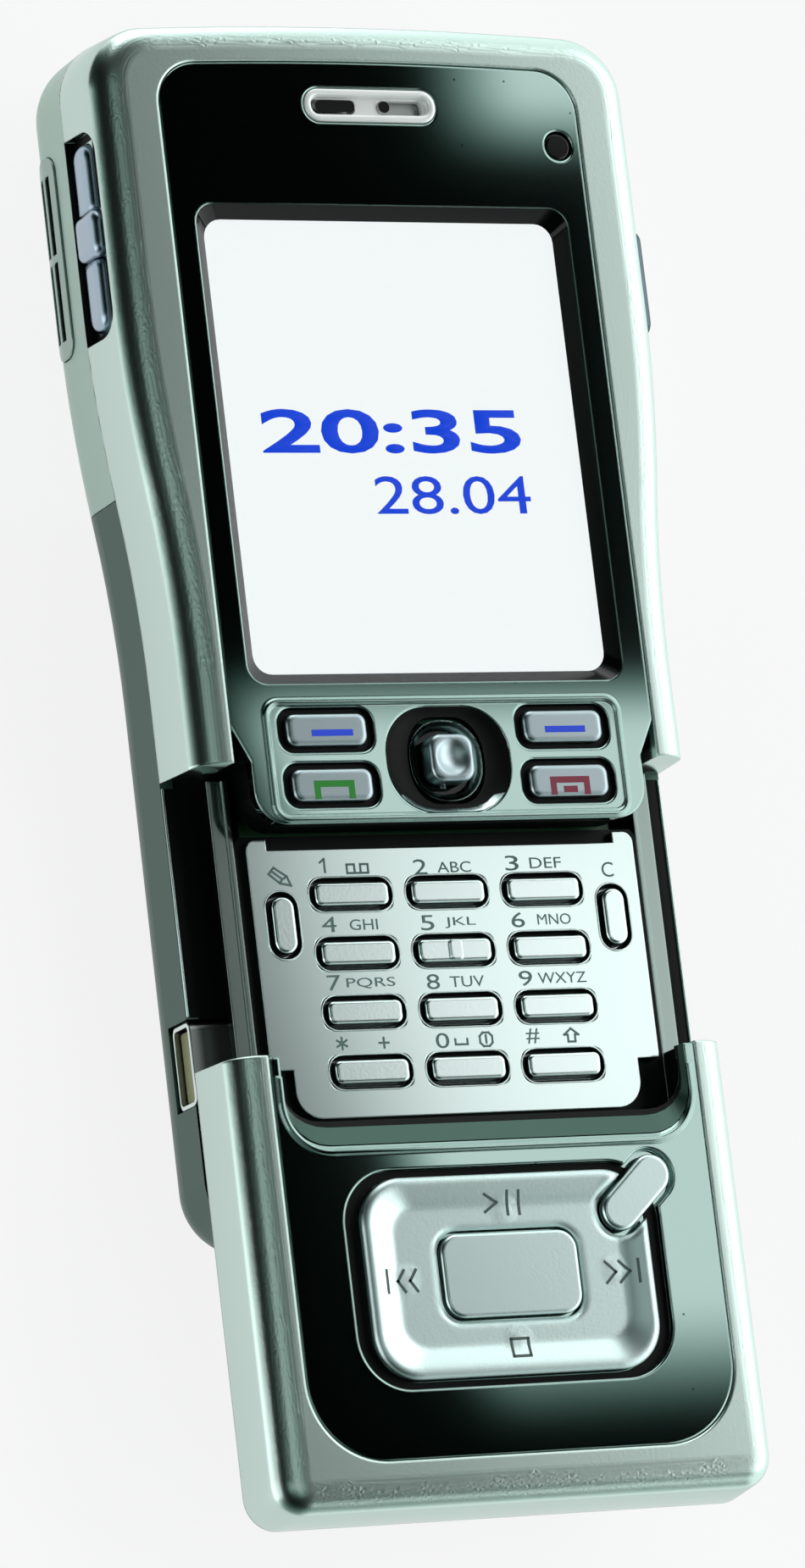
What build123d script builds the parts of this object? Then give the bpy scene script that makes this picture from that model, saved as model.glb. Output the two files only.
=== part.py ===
"""Slider phone, shown slid open: a steel-framed handset whose lower front slides down off its keypad.

The back face lies at Z = 0 with the screen side up. Y runs towards the earpiece, and Y = 0 is the
parting line where the arms of the two steel frames meet when the phone is closed. Millimetres.
"""
import os

from build123d import *

# ---- driving dimensions -------------------------------------------------------------------------
# overall form, measured with the phone closed, when it is 113.1 long
top_y = 70.6
bottom_y = -42.5
depth = 17.4                      # back face to front plane
head_half = 27.6                  # half width of the wide earpiece end
waist_half = 25.3                 # half width below the neck
neck_high_y = 44.0
neck_low_y = 8.0
crown_drop = 0.9                  # how far the top edge falls from its middle to its ends
head_corner = 6.5
slide_travel = 26.5

# general clearances, edges and the overrun of cuts
fit_gap = 0.1
loose_gap = 0.3
key_gap = 0.2
flange_gap = 0.05
running_gap = 0.08
press_travel = 0.3
small_edge = 0.3
cut_over = 1.0

# steel frames
frame_depth = 7.8                 # front plane to the seam with the rear housing
side_lean = 0.8                   # how far the sides lean in from seam to front
front_rounding = 2.8
frame_wall = 1.9
frame_skin = 1.4
side_border = 3.95                # waist to the opening of both frames
top_border = 4.55
opening_crown = 0.5
opening_corner = 4.2
part_line_gap = 0.15
arm_end_wall = 1.2

# rear shells
rear_wall = 1.3
back_wall = 1.2
back_rounding = 5.0
rear_corner = 6.0
rear_seam_y = 26.4
rear_seam_gap = 0.1

# lower frame and the mechanism it slides on
slide_end_step = 0.9              # rear housing's end to the lower frame's end, closed
bar_height = 4.7                  # border below the opening
bar_thickness = 2.7
slide_corner = 3.0
cavity_corner = 1.5
slide_opening_corner = 7.5
slide_panel_thickness = 1.4
scoop_slope = 2.75
scoop_lip = 0.2
scoop_flare = 0.1                 # sideways growth of the scoop for each mm of its slope
carriage_thickness = 1.3
carriage_setback = 0.5
rail_tongue = (1.4, 1.0)          # how far it stands out, how thick
rail_base = 0.5
rail_end = 0.6
runner_length = 10.4
runner_lift = 0.2

# chassis
deck_thickness = 1.2
floor_thickness = 0.6
core_side = 1.05                  # opening of the frames to the core's side
core_wall = 1.3
core_end_gap = 1.5                # core to the lower frame's bar, closed
upper_core_wall = 1.0
shelf_thickness = 1.0
shelf_high_y = 6.2
shelf_edge = 0.5
board_room = 0.5

# front panel and display
panel_thickness = 1.2
panel_recess = 0.1
recess_depth = 0.5
tongue_side = 1.65                # opening of the frames to the tongue's side
tongue_low_y = -5.8
tongue_corner = 3.1
scallop_length = 3.4
screen_side = 4.15                # opening of the frames to the lit area
window_drop = 13.85               # opening's top to the window
window_low_y = 7.2
bezel_side = 1.7                  # window edge to lit area, left and right
bezel_end = 2.15
bevel = 1.1
window_corner = 1.9
lens_thickness = 0.8
lens_margin = 1.6
module_border = (2.4, 2.9)

# earpiece and light sensor
earpiece_drop = 4.25              # below the opening's top
earpiece_size = (13.5, 3.3)
earpiece_corner = 1.6
earpiece_rim = 0.8
earpiece_slot = (4.5, 1.35)
earpiece_slot_corner = 0.4
earpiece_slot_x = (-3.6, 3.3)
capsule_size = (11.8, 4.2, 2.35)
sensor_place = (2.35, 7.75)       # inside the opening's right side and top
sensor_radius = 1.35
sensor_drop = 0.15

# function keys around the joystick
function_side = 7.8               # tongue's side to the middle of a function key
softkey_y = 2.9
callkey_y = -2.2
function_cap = (8.0, 3.0)
function_corner = 0.9
function_recess = (9.6, 4.2)
function_recess_corner = 1.5
function_proud = 0.35
function_edge = 0.4
cluster_side = 1.7                # tongue's side to the raised bead
cluster_height = 11.3
cluster_y = 0.15
cluster_corner = 1.6
bead_width = 0.5
bead_height = 0.2
function_board_depth = 2.0        # below the panel's underside
function_board_margin = 2.1
function_dome_height = 0.2

# joystick
joystick_well = (7.8, 8.2)
joystick_well_corner = 2.6
joystick_dish = (12.4, 9.8)
joystick_dish_corner = 4.4
pivot_drop = 0.7                  # below the panel's underside
pivot_radius = 0.35
lug_size = (0.7, 1.8)
lug_gap = 0.35
lug_crest = 0.6
ring_room = 0.4
ring_bore = 2.4
ring_height = 0.9
stick_radius = 1.7
stick_root = 0.4
stick_size = 4.4
stick_corner = 1.2
stick_proud = 0.9
stick_dish_radius = 3.7
stick_dish_depth = 0.4
tilt_room = 0.5

# numeric keypad
column_inset = 7.0                # outer column to the middle of the tall keys
keypad_end = 5.5                  # core's end to the plate's end
first_row_drop = 5.7              # below the tongue's end
keypad_drop = 3.6                 # front plane to the plate
keypad_plate_thickness = 0.8
surround_thickness = 0.4
keypad_side = 0.8                 # core's side to the plate's side
keypad_head = 4.2                 # plate above the first row
keypad_foot = 4.11                # plate below the last row
keypad_ear = (2.0, 1.0)
keypad_notch = (2.2, 4.5)
keypad_corner = 1.0
keypad_low_corner = 2.5
recess_spacing_x = 1.35           # between neighbouring key recesses
recess_spacing_y = 2.33
cap_border = 0.5                  # recess edge to the cap
key_corner = 0.6
key_edge = 0.25
key_proud = 0.4
key_ridge_width = 1.2
side_key_inset = 2.85
side_key_recess = (3.2, 6.2)
side_key_recess_corner = 1.5
side_key_corner = 1.05
flange_thickness = 0.4
flange_reach = 0.4

# music keys on the slider
pad_rise = 16.15                  # pad's middle above the opening's end
pad_recess = (31.4, 19.8)
pad_recess_corner = 5.0
pad_recess_depth = 0.7
pad_size = (28.4, 18.2)
pad_corner = 4.2
pad_lift = 0.4
pad_proud = 0.5
pad_edge = 0.35
pad_rim = 0.75
pad_dish_depth = 0.45
pad_dish_slope = 2.0
play_key_size = (13.6, 7.6)
play_key_corner = 1.8
shortcut_offset = (13.4, 6.85)    # from the pad's middle
shortcut_length = 8.4
shortcut_width = 3.7
shortcut_angle = 42.0
shortcut_room = 0.6
shortcut_gap = 0.45
leg_inset = (3.8, 3.15)
leg_radius = 1.0
leg_room = 0.35
stem_radius = 1.6
keymat_drop = 0.3
keymat_thickness = 0.15
keymat_margin = (1.4, 1.2)
keymat_corner = 1.5
keymat_hole = 2.2
pocket_gap = (0.6, 0.4)
pocket_reach = (3.4, 2.4)         # past the shortcut key's middle
pocket_skin = 0.4
music_board_thickness = 0.3
music_dome_height = 0.14

# side and top keys
volume_drop = 20.2                # middle of the volume keys below the top
volume_recess_length = 19.5
volume_recess_height = 5.3        # above the seam
volume_recess_depth = 1.1
volume_recess_corner = 2.4
volume_cap = (6.5, 3.2)
voice_cap = (4.4, 4.3)
volume_cap_lift = 0.4             # above the seam
volume_cap_corner = 1.4
voice_cap_corner = 0.9
volume_cap_rounding = 0.75
volume_spacing = 0.15
voice_proud = 0.25                # past the other volume keys
camera_key_drop = 24.5
camera_cap = (10.0, 3.0)
top_key_drop = 5.6                # below the front plane
power_key_x = 11.0
power_cap = (7.0, 2.6)
hold_x = -3.0
hold_slot = (6.4, 1.8)
hold_flange = (5.4, 3.2)
hold_knob = (3.0, 2.2)
hold_knob_height = 0.45
hold_recess_depth = 0.7
hold_knob_corner = 0.6
hold_travel = 3.0
edge_key_drop = 4.1               # below the front plane
cap_flat = 0.3                    # straight part left at each end of a cap
side_flange = 0.5
side_flange_reach = 0.45
flange_corner = 0.4
cap_proud = 0.25

# connectors
socket_radius = 1.8
socket_length = 12.6
socket_sink = 0.9
socket_x = -14.5
socket_z = 5.6
jack_half = (3.2, 2.6)
jack_collar = 0.9
jack_step = 1.9
usb_size = (9.0, 7.7, 3.9)
usb_y = -25.6
usb_wall = 0.35
usb_corner = 0.9
usb_sink = 0.35                   # inside the case's side
usb_back = 1.5
usb_tongue = (7.2, 4.8, 1.0)
usb_tongue_sink = 0.8

# parts inside
board_thickness = 0.8
board_end_gap = 2.85
board_margin = 2.0                # board's edge to the shields
dome_height = 0.4
dome_radius = 1.9
small_dome_radius = 1.3
shield_height = 1.5
shield_edge = 1.8                 # window's ends to the shields
shield_space = 2.0
screw_radius = 0.65
screw_head = (1.3, 0.5)
screw_inset = (3.3, 3.4)
screw_top_inset = 4.65
screw_tip = 0.4
inner_gap = 1.5                   # between the large parts in the rear housing
battery_width = 34.0
battery_thickness = 5.5
battery_rounding = 1.6
drive_size = (30.0, 40.0, 5.0)
drive_side = 4.3                  # case's side to the drive
drive_end = 4.5                   # housing's end to the drive
drive_lift = 0.8
drive_chamfer = 1.0
camera_size = (8.4, 8.4, 4.4)
camera_drop = 8.4
camera_lens = (2.2, 1.0)
camera_window_radius = 3.6
camera_window_sink = 0.15
grille_length = 19.3
grille_height = 4.1
grille_z = 5.05                   # its middle
grille_proud = 0.2
grille_end = 1.8                  # plain length at each end
grille_bar = 0.7
grille_slot_z = (3.95, 5.35)      # middles of the two rows of slots
grille_slot_height = 0.85
speaker_length = 17.4
speaker_z = (2.4, 7.4)
speaker_gap = 0.8
speaker_rounding = 1.5
motor_place = (7.3, 4.0, 3.6)     # inside the case's side and end, height
motor_radius = 2.0
motor_length = 8.0
motor_shaft = (0.4, 3.0)
motor_weight = (1.7, 2.2)
motor_weight_gap = 0.5
antenna_size = (15.0, 8.0, 4.4)
antenna_place = (6.0, 4.6, 1.6)   # side, below the case's top, height
antenna_wall = (1.5, 1.5, 1.2)


def grown(size, amount):
    """Size pair made larger on every side."""
    return (size[0] + 2 * amount, size[1] + 2 * amount)


# ---- levels and places worked out from the above --------------------------------------------------
front_z = depth
seam_z = front_z - frame_depth
ceiling_z = front_z - frame_skin
deck_z = seam_z - deck_thickness
floor_z = seam_z + floor_thickness
panel_top_z = front_z - panel_recess
panel_low_z = panel_top_z - panel_thickness
slide_panel_low_z = panel_top_z - slide_panel_thickness
carriage_low_z = slide_panel_low_z - carriage_thickness
plate_top_z = front_z - keypad_drop
plate_low_z = plate_top_z - keypad_plate_thickness
surround_low_z = plate_low_z - surround_thickness
board_top_z = floor_z + board_thickness
shield_top_z = board_top_z + shield_height
function_board_z = panel_low_z - function_board_depth
function_board_top_z = function_board_z + board_thickness
slide_low_z = seam_z + 2 * key_gap
edge_key_z = front_z - edge_key_drop
top_key_z = front_z - top_key_drop
pivot_z = panel_low_z - pivot_drop

opening_half = waist_half - side_border
screen_width = 2 * (opening_half - screen_side)
opening_top_y = top_y - top_border
core_half = opening_half - core_side
upper_core_inset = loose_gap
tongue_half = opening_half - tongue_side
function_x = tongue_half - function_side
cluster_size = (2 * (tongue_half - cluster_side), cluster_height)
slide_low_y = bottom_y + slide_end_step - slide_travel
slide_opening_low_y = slide_low_y + bar_height
core_low_y = slide_low_y + slide_travel + bar_thickness + core_end_gap
arm_end_y = -part_line_gap - slide_travel
scoop_half = tongue_half + loose_gap
scoop_corner = tongue_corner + loose_gap
scoop_low_y = tongue_low_y - loose_gap - slide_travel
rail_high_y = -rail_end

window_high_y = opening_top_y - window_drop
window_size = (screen_width + 2 * bezel_side, window_high_y - window_low_y)
screen_height = window_size[1] - 2 * bezel_end
screen_y = (window_high_y + window_low_y) / 2
window_floor = (window_size[0] - 2 * bevel, window_size[1] - 2 * bevel)
earpiece_y = opening_top_y - earpiece_drop
sensor_center = (opening_half - sensor_place[0], opening_top_y - sensor_place[1])
function_places = ((-function_x, softkey_y), (function_x, softkey_y),
                   (-function_x, callkey_y), (function_x, callkey_y))
function_names = ("softkey_left", "softkey_right", "send_key", "end_key")
ring_outer = joystick_well[0] / 2 - ring_room
lug_x = ring_outer + lug_gap + lug_size[0] / 2

keypad_half = core_half - keypad_side
keypad_low_y = core_low_y + keypad_end
first_row_y = tongue_low_y - first_row_drop
row_pitch = (first_row_y - keypad_low_y - keypad_foot) / 3
side_key_x = keypad_half - side_key_inset
column_pitch = side_key_x - column_inset
key_recess = (column_pitch - recess_spacing_x, row_pitch - recess_spacing_y)
key_cap = grown(key_recess, -cap_border)
side_key_cap = grown(side_key_recess, -cap_border)
key_columns = (-column_pitch, 0.0, column_pitch)
key_rows = tuple(first_row_y - row * row_pitch for row in range(4))
key_names = ("key_1", "key_2", "key_3", "key_4", "key_5", "key_6",
             "key_7", "key_8", "key_9", "key_star", "key_0", "key_hash")
key_places = tuple((x, y) for y in key_rows for x in key_columns)
keypad_top_y = first_row_y + keypad_head
side_key_y = first_row_y - row_pitch / 2

pad_y = slide_opening_low_y + pad_rise
pad_floor_z = panel_top_z - pad_recess_depth
pad_low_z = pad_floor_z + pad_lift
pad_top_z = panel_top_z + pad_proud
shortcut_place = (shortcut_offset[0], pad_y + shortcut_offset[1])
leg_reach = (pad_size[0] / 2 - leg_inset[0], pad_size[1] / 2 - leg_inset[1])
leg_places = ((-leg_reach[0], pad_y), (leg_reach[0], pad_y),
              (0, pad_y - leg_reach[1]), (0, pad_y + leg_reach[1]))
pocket_x = (-pad_size[0] / 2 - pocket_gap[0], shortcut_place[0] + pocket_reach[0])
pocket_y = (pad_y - pad_size[1] / 2 - pocket_gap[1], shortcut_place[1] + pocket_reach[1])
music_board_z = carriage_low_z + pocket_skin
music_board_top_z = music_board_z + music_board_thickness
keymat_z = slide_panel_low_z - keymat_drop
stem_low_z = music_board_top_z + music_dome_height + press_travel + flange_gap

volume_y = top_y - volume_drop
volume_step = voice_cap[0] / 2 + volume_spacing + volume_cap[0] / 2
volume_keys = (("volume_up_key", 1, volume_cap, volume_cap_corner, -cap_proud),
               ("voice_key", 0, voice_cap, voice_cap_corner, voice_proud),
               ("volume_down_key", -1, volume_cap, volume_cap_corner, -cap_proud))
camera_key_y = top_y - camera_key_drop
flange_top_y = top_y - frame_wall - loose_gap - 2 * flange_gap
flange_x = head_half - frame_wall - flange_gap
hold_floor_y = top_y - hold_recess_depth

socket_mouth_y = top_y - socket_sink
usb_z = seam_z - fit_gap - usb_size[2] / 2
grille_y = volume_y
screw_x = core_half - screw_inset[0]
screw_places = ((-screw_x, core_low_y + screw_inset[1]), (screw_x, core_low_y + screw_inset[1]),
                (-screw_x, opening_top_y - screw_top_inset), (screw_x, opening_top_y - screw_top_inset))
camera_y = top_y - camera_drop
drive_low_y = bottom_y + drive_end
drive_x = waist_half - drive_side - drive_size[0]
battery_y = (drive_low_y + drive_size[1] + inner_gap, camera_y - camera_size[1] / 2 - inner_gap)

os.makedirs("parts", exist_ok=True)


def save(builder, label):
    """Label a finished sub-part and write its file."""
    builder.part.label = label
    export_step(builder.part, f"parts/{label}.step")


# ---- shared outlines and forms --------------------------------------------------------------------
def case_face(z, grow, low_y, low_corner=0.0):
    """Plan outline of the handset at height z, grown outwards, from its top edge down to low_y."""
    head = head_half + grow
    waist = waist_half + grow
    top = top_y + grow
    neck = ((head + waist) / 2, (neck_high_y + neck_low_y) / 2)
    with BuildSketch(Plane.XY.offset(z)) as outline:
        with BuildLine():
            ThreePointArc((-head, top - crown_drop), (0, top), (head, top - crown_drop))
            for side in (-1, 1):
                Line((side * head, top - crown_drop), (side * head, neck_high_y))
                TangentArc((side * head, neck_high_y), (side * neck[0], neck[1]), tangent=(0, -1))
                TangentArc((side * waist, neck_low_y), (side * neck[0], neck[1]), tangent=(0, 1))
                Line((side * waist, neck_low_y), (side * waist, low_y))
            Line((-waist, low_y), (waist, low_y))
        make_face()
        fillet(outline.vertices().group_by(Axis.Y)[-1], head_corner + grow)
        if low_corner > 0:
            fillet(outline.vertices().group_by(Axis.Y)[0], low_corner)
    return outline.sketch


def opening_face(z, low_y):
    """Crowned opening of the upper frame."""
    with BuildSketch(Plane.XY.offset(z)) as outline:
        with BuildLine():
            left = (-opening_half, opening_top_y - opening_crown)
            right = (opening_half, opening_top_y - opening_crown)
            ThreePointArc(left, (0, opening_top_y), right)
            Polyline(right, (opening_half, low_y), (-opening_half, low_y), left)
        make_face()
        fillet(outline.vertices().group_by(Axis.Y)[-1], opening_corner)
    return outline.sketch


def panel_face(z, inset):
    """Front panel outline: the opening, a scallop beside each arm end, and the tongue below it."""
    half = opening_half - inset
    top = opening_top_y - inset
    tongue = tongue_half - inset
    with BuildSketch(Plane.XY.offset(z)) as outline:
        with BuildLine():
            ThreePointArc((-half, top - opening_crown), (0, top), (half, top - opening_crown))
            for side in (-1, 1):
                Polyline((side * half, top - opening_crown), (side * half, scallop_length),
                         (side * tongue, inset), (side * tongue, tongue_low_y + inset))
            Line((-tongue, tongue_low_y + inset), (tongue, tongue_low_y + inset))
        make_face()
        fillet(outline.vertices().group_by(Axis.Y)[-1], opening_corner - inset)
        fillet(outline.vertices().group_by(Axis.Y)[0], tongue_corner - inset)
    return outline.sketch


def arm_face(z, half, low_y, corner, high_y=arm_end_y):
    """Plan outline of the slider's frame or panel: straight sides and two rounded lower corners."""
    with BuildSketch(Plane.XY.offset(z)) as outline:
        with BuildLine():
            Polyline((-half, high_y), (half, high_y), (half, low_y), (-half, low_y), close=True)
        make_face()
        fillet(outline.vertices().group_by(Axis.Y)[0], corner)
    return outline.sketch


def slide_opening_face(z, inset, high_y):
    """Opening of the lower frame, with its large lower corners."""
    return arm_face(z, opening_half - inset, slide_opening_low_y + inset,
                    slide_opening_corner - inset, high_y)


def scoop_face(z, grow):
    """U outline that the slider leaves free for the keypad, grown mostly downwards."""
    return arm_face(z, scoop_half + scoop_flare * grow, scoop_low_y - grow, scoop_corner + grow / 3,
                    arm_end_y + cut_over)


def rounded_tub(inset, low_z, rounding):
    """Solid filling the rear of the case up to the seam, with its back edges rounded."""
    with BuildPart() as tub:
        extrude(case_face(low_z, -inset, bottom_y + inset, rear_corner - inset), amount=seam_z - low_z)
        fillet(tub.faces().sort_by(Axis.Z)[0].edges(), rounding)
    return tub.part


def rear_shell(low_y, high_y):
    """Length of the hollow rear shell between two stations along the case."""
    with BuildPart() as shell:
        add(rounded_tub(0, 0, back_rounding))
        add(rounded_tub(rear_wall, back_wall, back_rounding - rear_wall), mode=Mode.SUBTRACT)
        with Locations((0, (low_y + high_y) / 2, depth / 2)):
            Box(3 * head_half, high_y - low_y, depth, mode=Mode.INTERSECT)
    return shell.part


def box_between(x, y, z, mode=Mode.ADD):
    """Box between pairs of limits along X, Y and Z."""
    with Locations(((x[0] + x[1]) / 2, (y[0] + y[1]) / 2, (z[0] + z[1]) / 2)):
        Box(x[1] - x[0], y[1] - y[0], z[1] - z[0], mode=mode)


def around(center, half):
    """Limits at equal distances on both sides of a centre."""
    return (center - half, center + half)


def rounded_rectangle(size, radius):
    """Rounded rectangle sketch about the origin."""
    with BuildSketch() as shape:
        RectangleRounded(*size, radius)
    return shape.sketch


def cap_outline(cap, grow=0.0):
    """Round-ended outline of an edge key's cap, or of its opening when grown."""
    return rounded_rectangle(grown(cap, grow), min(cap) / 2 - cap_flat + grow)


def volume_cap_face(side, cap, corner, grow=0.0):
    """Outline of a volume key's cap: square towards the voice key, rounded at the end on its own side."""
    with BuildSketch() as shape:
        Rectangle(*grown(cap, grow))
        ends = shape.vertices().group_by(Axis.X)
        fillet({1: ends[-1], 0: shape.vertices(), -1: ends[0]}[side], corner + grow)
    return shape.sketch


def grille_face(grow):
    """Round-ended outline of the loudspeaker grille, seen from the side, clear of the case."""
    with BuildSketch(Plane.YZ.offset(-head_half - cut_over)) as pill:
        with Locations((grille_y, grille_z)):
            add(cap_outline((grille_length, grille_height), grow))
    return pill.sketch


# ---- rear housing: lower metal tub with the notch for the USB socket -------------------------------
with BuildPart() as rear_housing:
    add(rear_shell(bottom_y - cut_over, rear_seam_y - rear_seam_gap))
    box_between((-waist_half - cut_over, -waist_half + 2 * rear_wall),
                around(usb_y, usb_size[1] / 2 + fit_gap),
                (usb_z - usb_size[2] / 2 - fit_gap, seam_z + cut_over), Mode.SUBTRACT)
save(rear_housing, "rear_housing")

# ---- rear cover: pale upper shell with the loudspeaker, camera and socket openings -----------------
with BuildPart() as rear_cover:
    add(rear_shell(rear_seam_y, top_y + cut_over))
    extrude(grille_face(0), amount=2 * rear_wall + 2 * cut_over, mode=Mode.SUBTRACT)
    with Locations((0, camera_y, 0)):
        Cylinder(camera_window_radius + fit_gap, 3 * back_wall, mode=Mode.SUBTRACT)
    with BuildSketch(Plane.XZ.offset(-top_y - cut_over)):
        with Locations((socket_x, socket_z)):
            Circle(socket_radius + jack_collar + fit_gap)
    extrude(amount=3 * rear_wall + cut_over, mode=Mode.SUBTRACT)
save(rear_cover, "rear_cover")

# ---- chassis: black deck inside the rim, keypad core and the wall round the display ----------------
deck_inset = rear_wall + key_gap
pocket_half = core_half - core_wall
with BuildPart() as chassis:
    extrude(case_face(deck_z, -deck_inset, bottom_y + deck_inset, rear_corner - deck_inset),
            amount=deck_thickness)
    box_between(around(0, core_half), (core_low_y, tongue_low_y), (seam_z, surround_low_z))
    extrude(panel_face(seam_z, upper_core_inset), amount=panel_low_z - seam_z)
    box_between(around(0, pocket_half), (core_low_y + core_wall, tongue_low_y + core_wall + cut_over),
                (floor_z, surround_low_z), Mode.SUBTRACT)
    extrude(panel_face(floor_z, upper_core_inset + upper_core_wall), amount=front_z - floor_z,
            mode=Mode.SUBTRACT)
    # shelf under the function keys, and the space for the main board below it
    box_between(around(0, tongue_half - shelf_edge), (tongue_low_y + core_wall, shelf_high_y),
                (function_board_z - shelf_thickness, function_board_z))
    box_between(around(0, pocket_half), (core_low_y + core_wall, shelf_high_y),
                (floor_z, board_top_z + board_room), Mode.SUBTRACT)
    # lugs for the joystick's outer ring
    for side in (-1, 1):
        box_between(around(side * lug_x, lug_size[0] / 2), around(0, lug_size[1] / 2),
                    (function_board_z, pivot_z + lug_crest))
    with BuildSketch(Plane.YZ.offset(-lug_x - cut_over)):
        with Locations((0, pivot_z)):
            Circle(pivot_radius + running_gap)
    extrude(amount=2 * (lug_x + cut_over), mode=Mode.SUBTRACT)
    # room for the USB socket
    box_between((-waist_half, -waist_half + rear_wall + usb_size[0] + loose_gap),
                around(usb_y, usb_size[1] / 2 + fit_gap), (deck_z - cut_over, seam_z), Mode.SUBTRACT)
    with Locations(*[(x, y, deck_z) for x, y in screw_places]):
        Cylinder(screw_radius + fit_gap, 5 * deck_thickness, mode=Mode.SUBTRACT)
save(chassis, "chassis")

# ---- front frame: steel shell round the display, open below ---------------------------------------
with BuildPart() as front_frame:
    loft([case_face(seam_z, 0, 0).face(), case_face(front_z, -side_lean, 0).face()])
    rim = front_frame.faces().sort_by(Axis.Z)[-1].edges().sort_by(Axis.Y)[1:]
    fillet(rim, front_rounding)
    extrude(case_face(seam_z, -frame_wall, arm_end_wall), amount=ceiling_z - seam_z, mode=Mode.SUBTRACT)
    extrude(opening_face(seam_z, -cut_over), amount=2 * frame_depth, mode=Mode.SUBTRACT)
    # scooped flat for the volume keys, and the openings of the edge keys
    with BuildSketch(Plane.YZ.offset(-head_half - cut_over)):
        with Locations((volume_y, seam_z)):
            RectangleRounded(volume_recess_length, 2 * volume_recess_height, volume_recess_corner)
    extrude(amount=volume_recess_depth + cut_over, mode=Mode.SUBTRACT)
    with BuildSketch(Plane.YZ.offset(-head_half - cut_over)):
        for label, side, cap, corner, proud in volume_keys:
            with Locations((volume_y + side * volume_step, seam_z + volume_cap_lift + cap[1] / 2)):
                add(volume_cap_face(side, cap, corner, fit_gap))
        with Locations((volume_y, seam_z + volume_cap_lift + volume_cap[1] / 2)):
            Rectangle(2 * volume_step, volume_cap[1] + 2 * fit_gap)
    extrude(amount=2 * frame_wall, mode=Mode.SUBTRACT)
    with BuildSketch(Plane.YZ.offset(head_half + cut_over)):
        with Locations((camera_key_y, edge_key_z)):
            add(cap_outline(camera_cap, fit_gap))
    extrude(amount=-2 * frame_wall - cut_over, mode=Mode.SUBTRACT)
    with BuildSketch(Plane.XZ.offset(-top_y - cut_over)):
        with Locations((power_key_x, top_key_z)):
            add(cap_outline(power_cap, fit_gap))
        with Locations((hold_x, top_key_z)):
            SlotOverall(*hold_slot)
    extrude(amount=2 * frame_wall + cut_over, mode=Mode.SUBTRACT)
    with BuildSketch(Plane.XZ.offset(-hold_floor_y)):
        with Locations((hold_x, top_key_z)):
            RectangleRounded(hold_knob[0] + hold_travel + 2 * loose_gap, hold_knob[1] + 2 * loose_gap,
                             hold_knob_corner + loose_gap)
    extrude(amount=-hold_recess_depth - cut_over, mode=Mode.SUBTRACT)
save(front_frame, "front_frame")

# ---- front panel: gloss black plate with the display window and the function key recesses ---------
with BuildPart() as front_panel:
    extrude(panel_face(panel_low_z, fit_gap), amount=panel_thickness)
    with BuildSketch(Plane.XY.offset(panel_low_z)) as window_low:
        with Locations((0, screen_y)):
            RectangleRounded(*window_floor, window_corner - bevel)
    with BuildSketch(Plane.XY.offset(panel_top_z)) as window_high:
        with Locations((0, screen_y)):
            RectangleRounded(*window_size, window_corner)
    loft([window_low.sketch.face(), window_high.sketch.face()], mode=Mode.SUBTRACT)
    with BuildSketch(Plane.XY.offset(panel_low_z)):
        with Locations((0, earpiece_y)):
            RectangleRounded(*earpiece_size, earpiece_corner)
        with Locations(sensor_center):
            Circle(sensor_radius + fit_gap)
        with Locations(*function_places):
            RectangleRounded(*grown(function_cap, key_gap), function_corner + key_gap)
        RectangleRounded(*joystick_well, joystick_well_corner)
    extrude(amount=panel_thickness, mode=Mode.SUBTRACT)
    with BuildSketch(Plane.XY.offset(panel_top_z - recess_depth)):
        with Locations(*function_places):
            RectangleRounded(*function_recess, function_recess_corner)
        RectangleRounded(*joystick_dish, joystick_dish_corner)
    extrude(amount=cut_over, mode=Mode.SUBTRACT)
    with BuildSketch(Plane.XY.offset(panel_top_z)):
        with Locations((0, cluster_y)):
            RectangleRounded(*cluster_size, cluster_corner)
            RectangleRounded(*grown(cluster_size, -bead_width), cluster_corner - bead_width,
                             mode=Mode.SUBTRACT)
    extrude(amount=bead_height)
save(front_panel, "front_panel")

# ---- display window and module --------------------------------------------------------------------
with BuildPart() as display_window:
    with BuildSketch(Plane.XY.offset(panel_low_z - lens_thickness)):
        with Locations((0, screen_y)):
            RectangleRounded(*grown(window_floor, lens_margin), window_corner - bevel)
    extrude(amount=lens_thickness)
save(display_window, "display_window")

with BuildPart() as display_module:
    box_between(around(0, screen_width / 2 + module_border[0]),
                around(screen_y, screen_height / 2 + module_border[1]),
                (shield_top_z + fit_gap, panel_low_z - lens_thickness - flange_gap))
    chamfer(display_module.faces().sort_by(Axis.Z)[-1].edges(), small_edge)
save(display_module, "display_module")

# ---- earpiece: chrome grille with two slots over the receiver capsule ------------------------------
with BuildPart() as earpiece_grille:
    with BuildSketch(Plane.XY.offset(panel_low_z)):
        with Locations((0, earpiece_y)):
            RectangleRounded(*grown(earpiece_size, -fit_gap), earpiece_corner - fit_gap)
    extrude(amount=panel_thickness - fit_gap)
    with BuildSketch(Plane.XY.offset(panel_top_z - recess_depth)):
        with Locations((0, earpiece_y)):
            RectangleRounded(*grown(earpiece_size, -earpiece_rim), earpiece_corner - earpiece_rim)
    extrude(amount=cut_over, mode=Mode.SUBTRACT)
    with BuildSketch(Plane.XY.offset(panel_low_z)):
        with Locations(*[(x, earpiece_y) for x in earpiece_slot_x]):
            RectangleRounded(*earpiece_slot, earpiece_slot_corner)
    extrude(amount=panel_thickness, mode=Mode.SUBTRACT)
save(earpiece_grille, "earpiece_grille")

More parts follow.
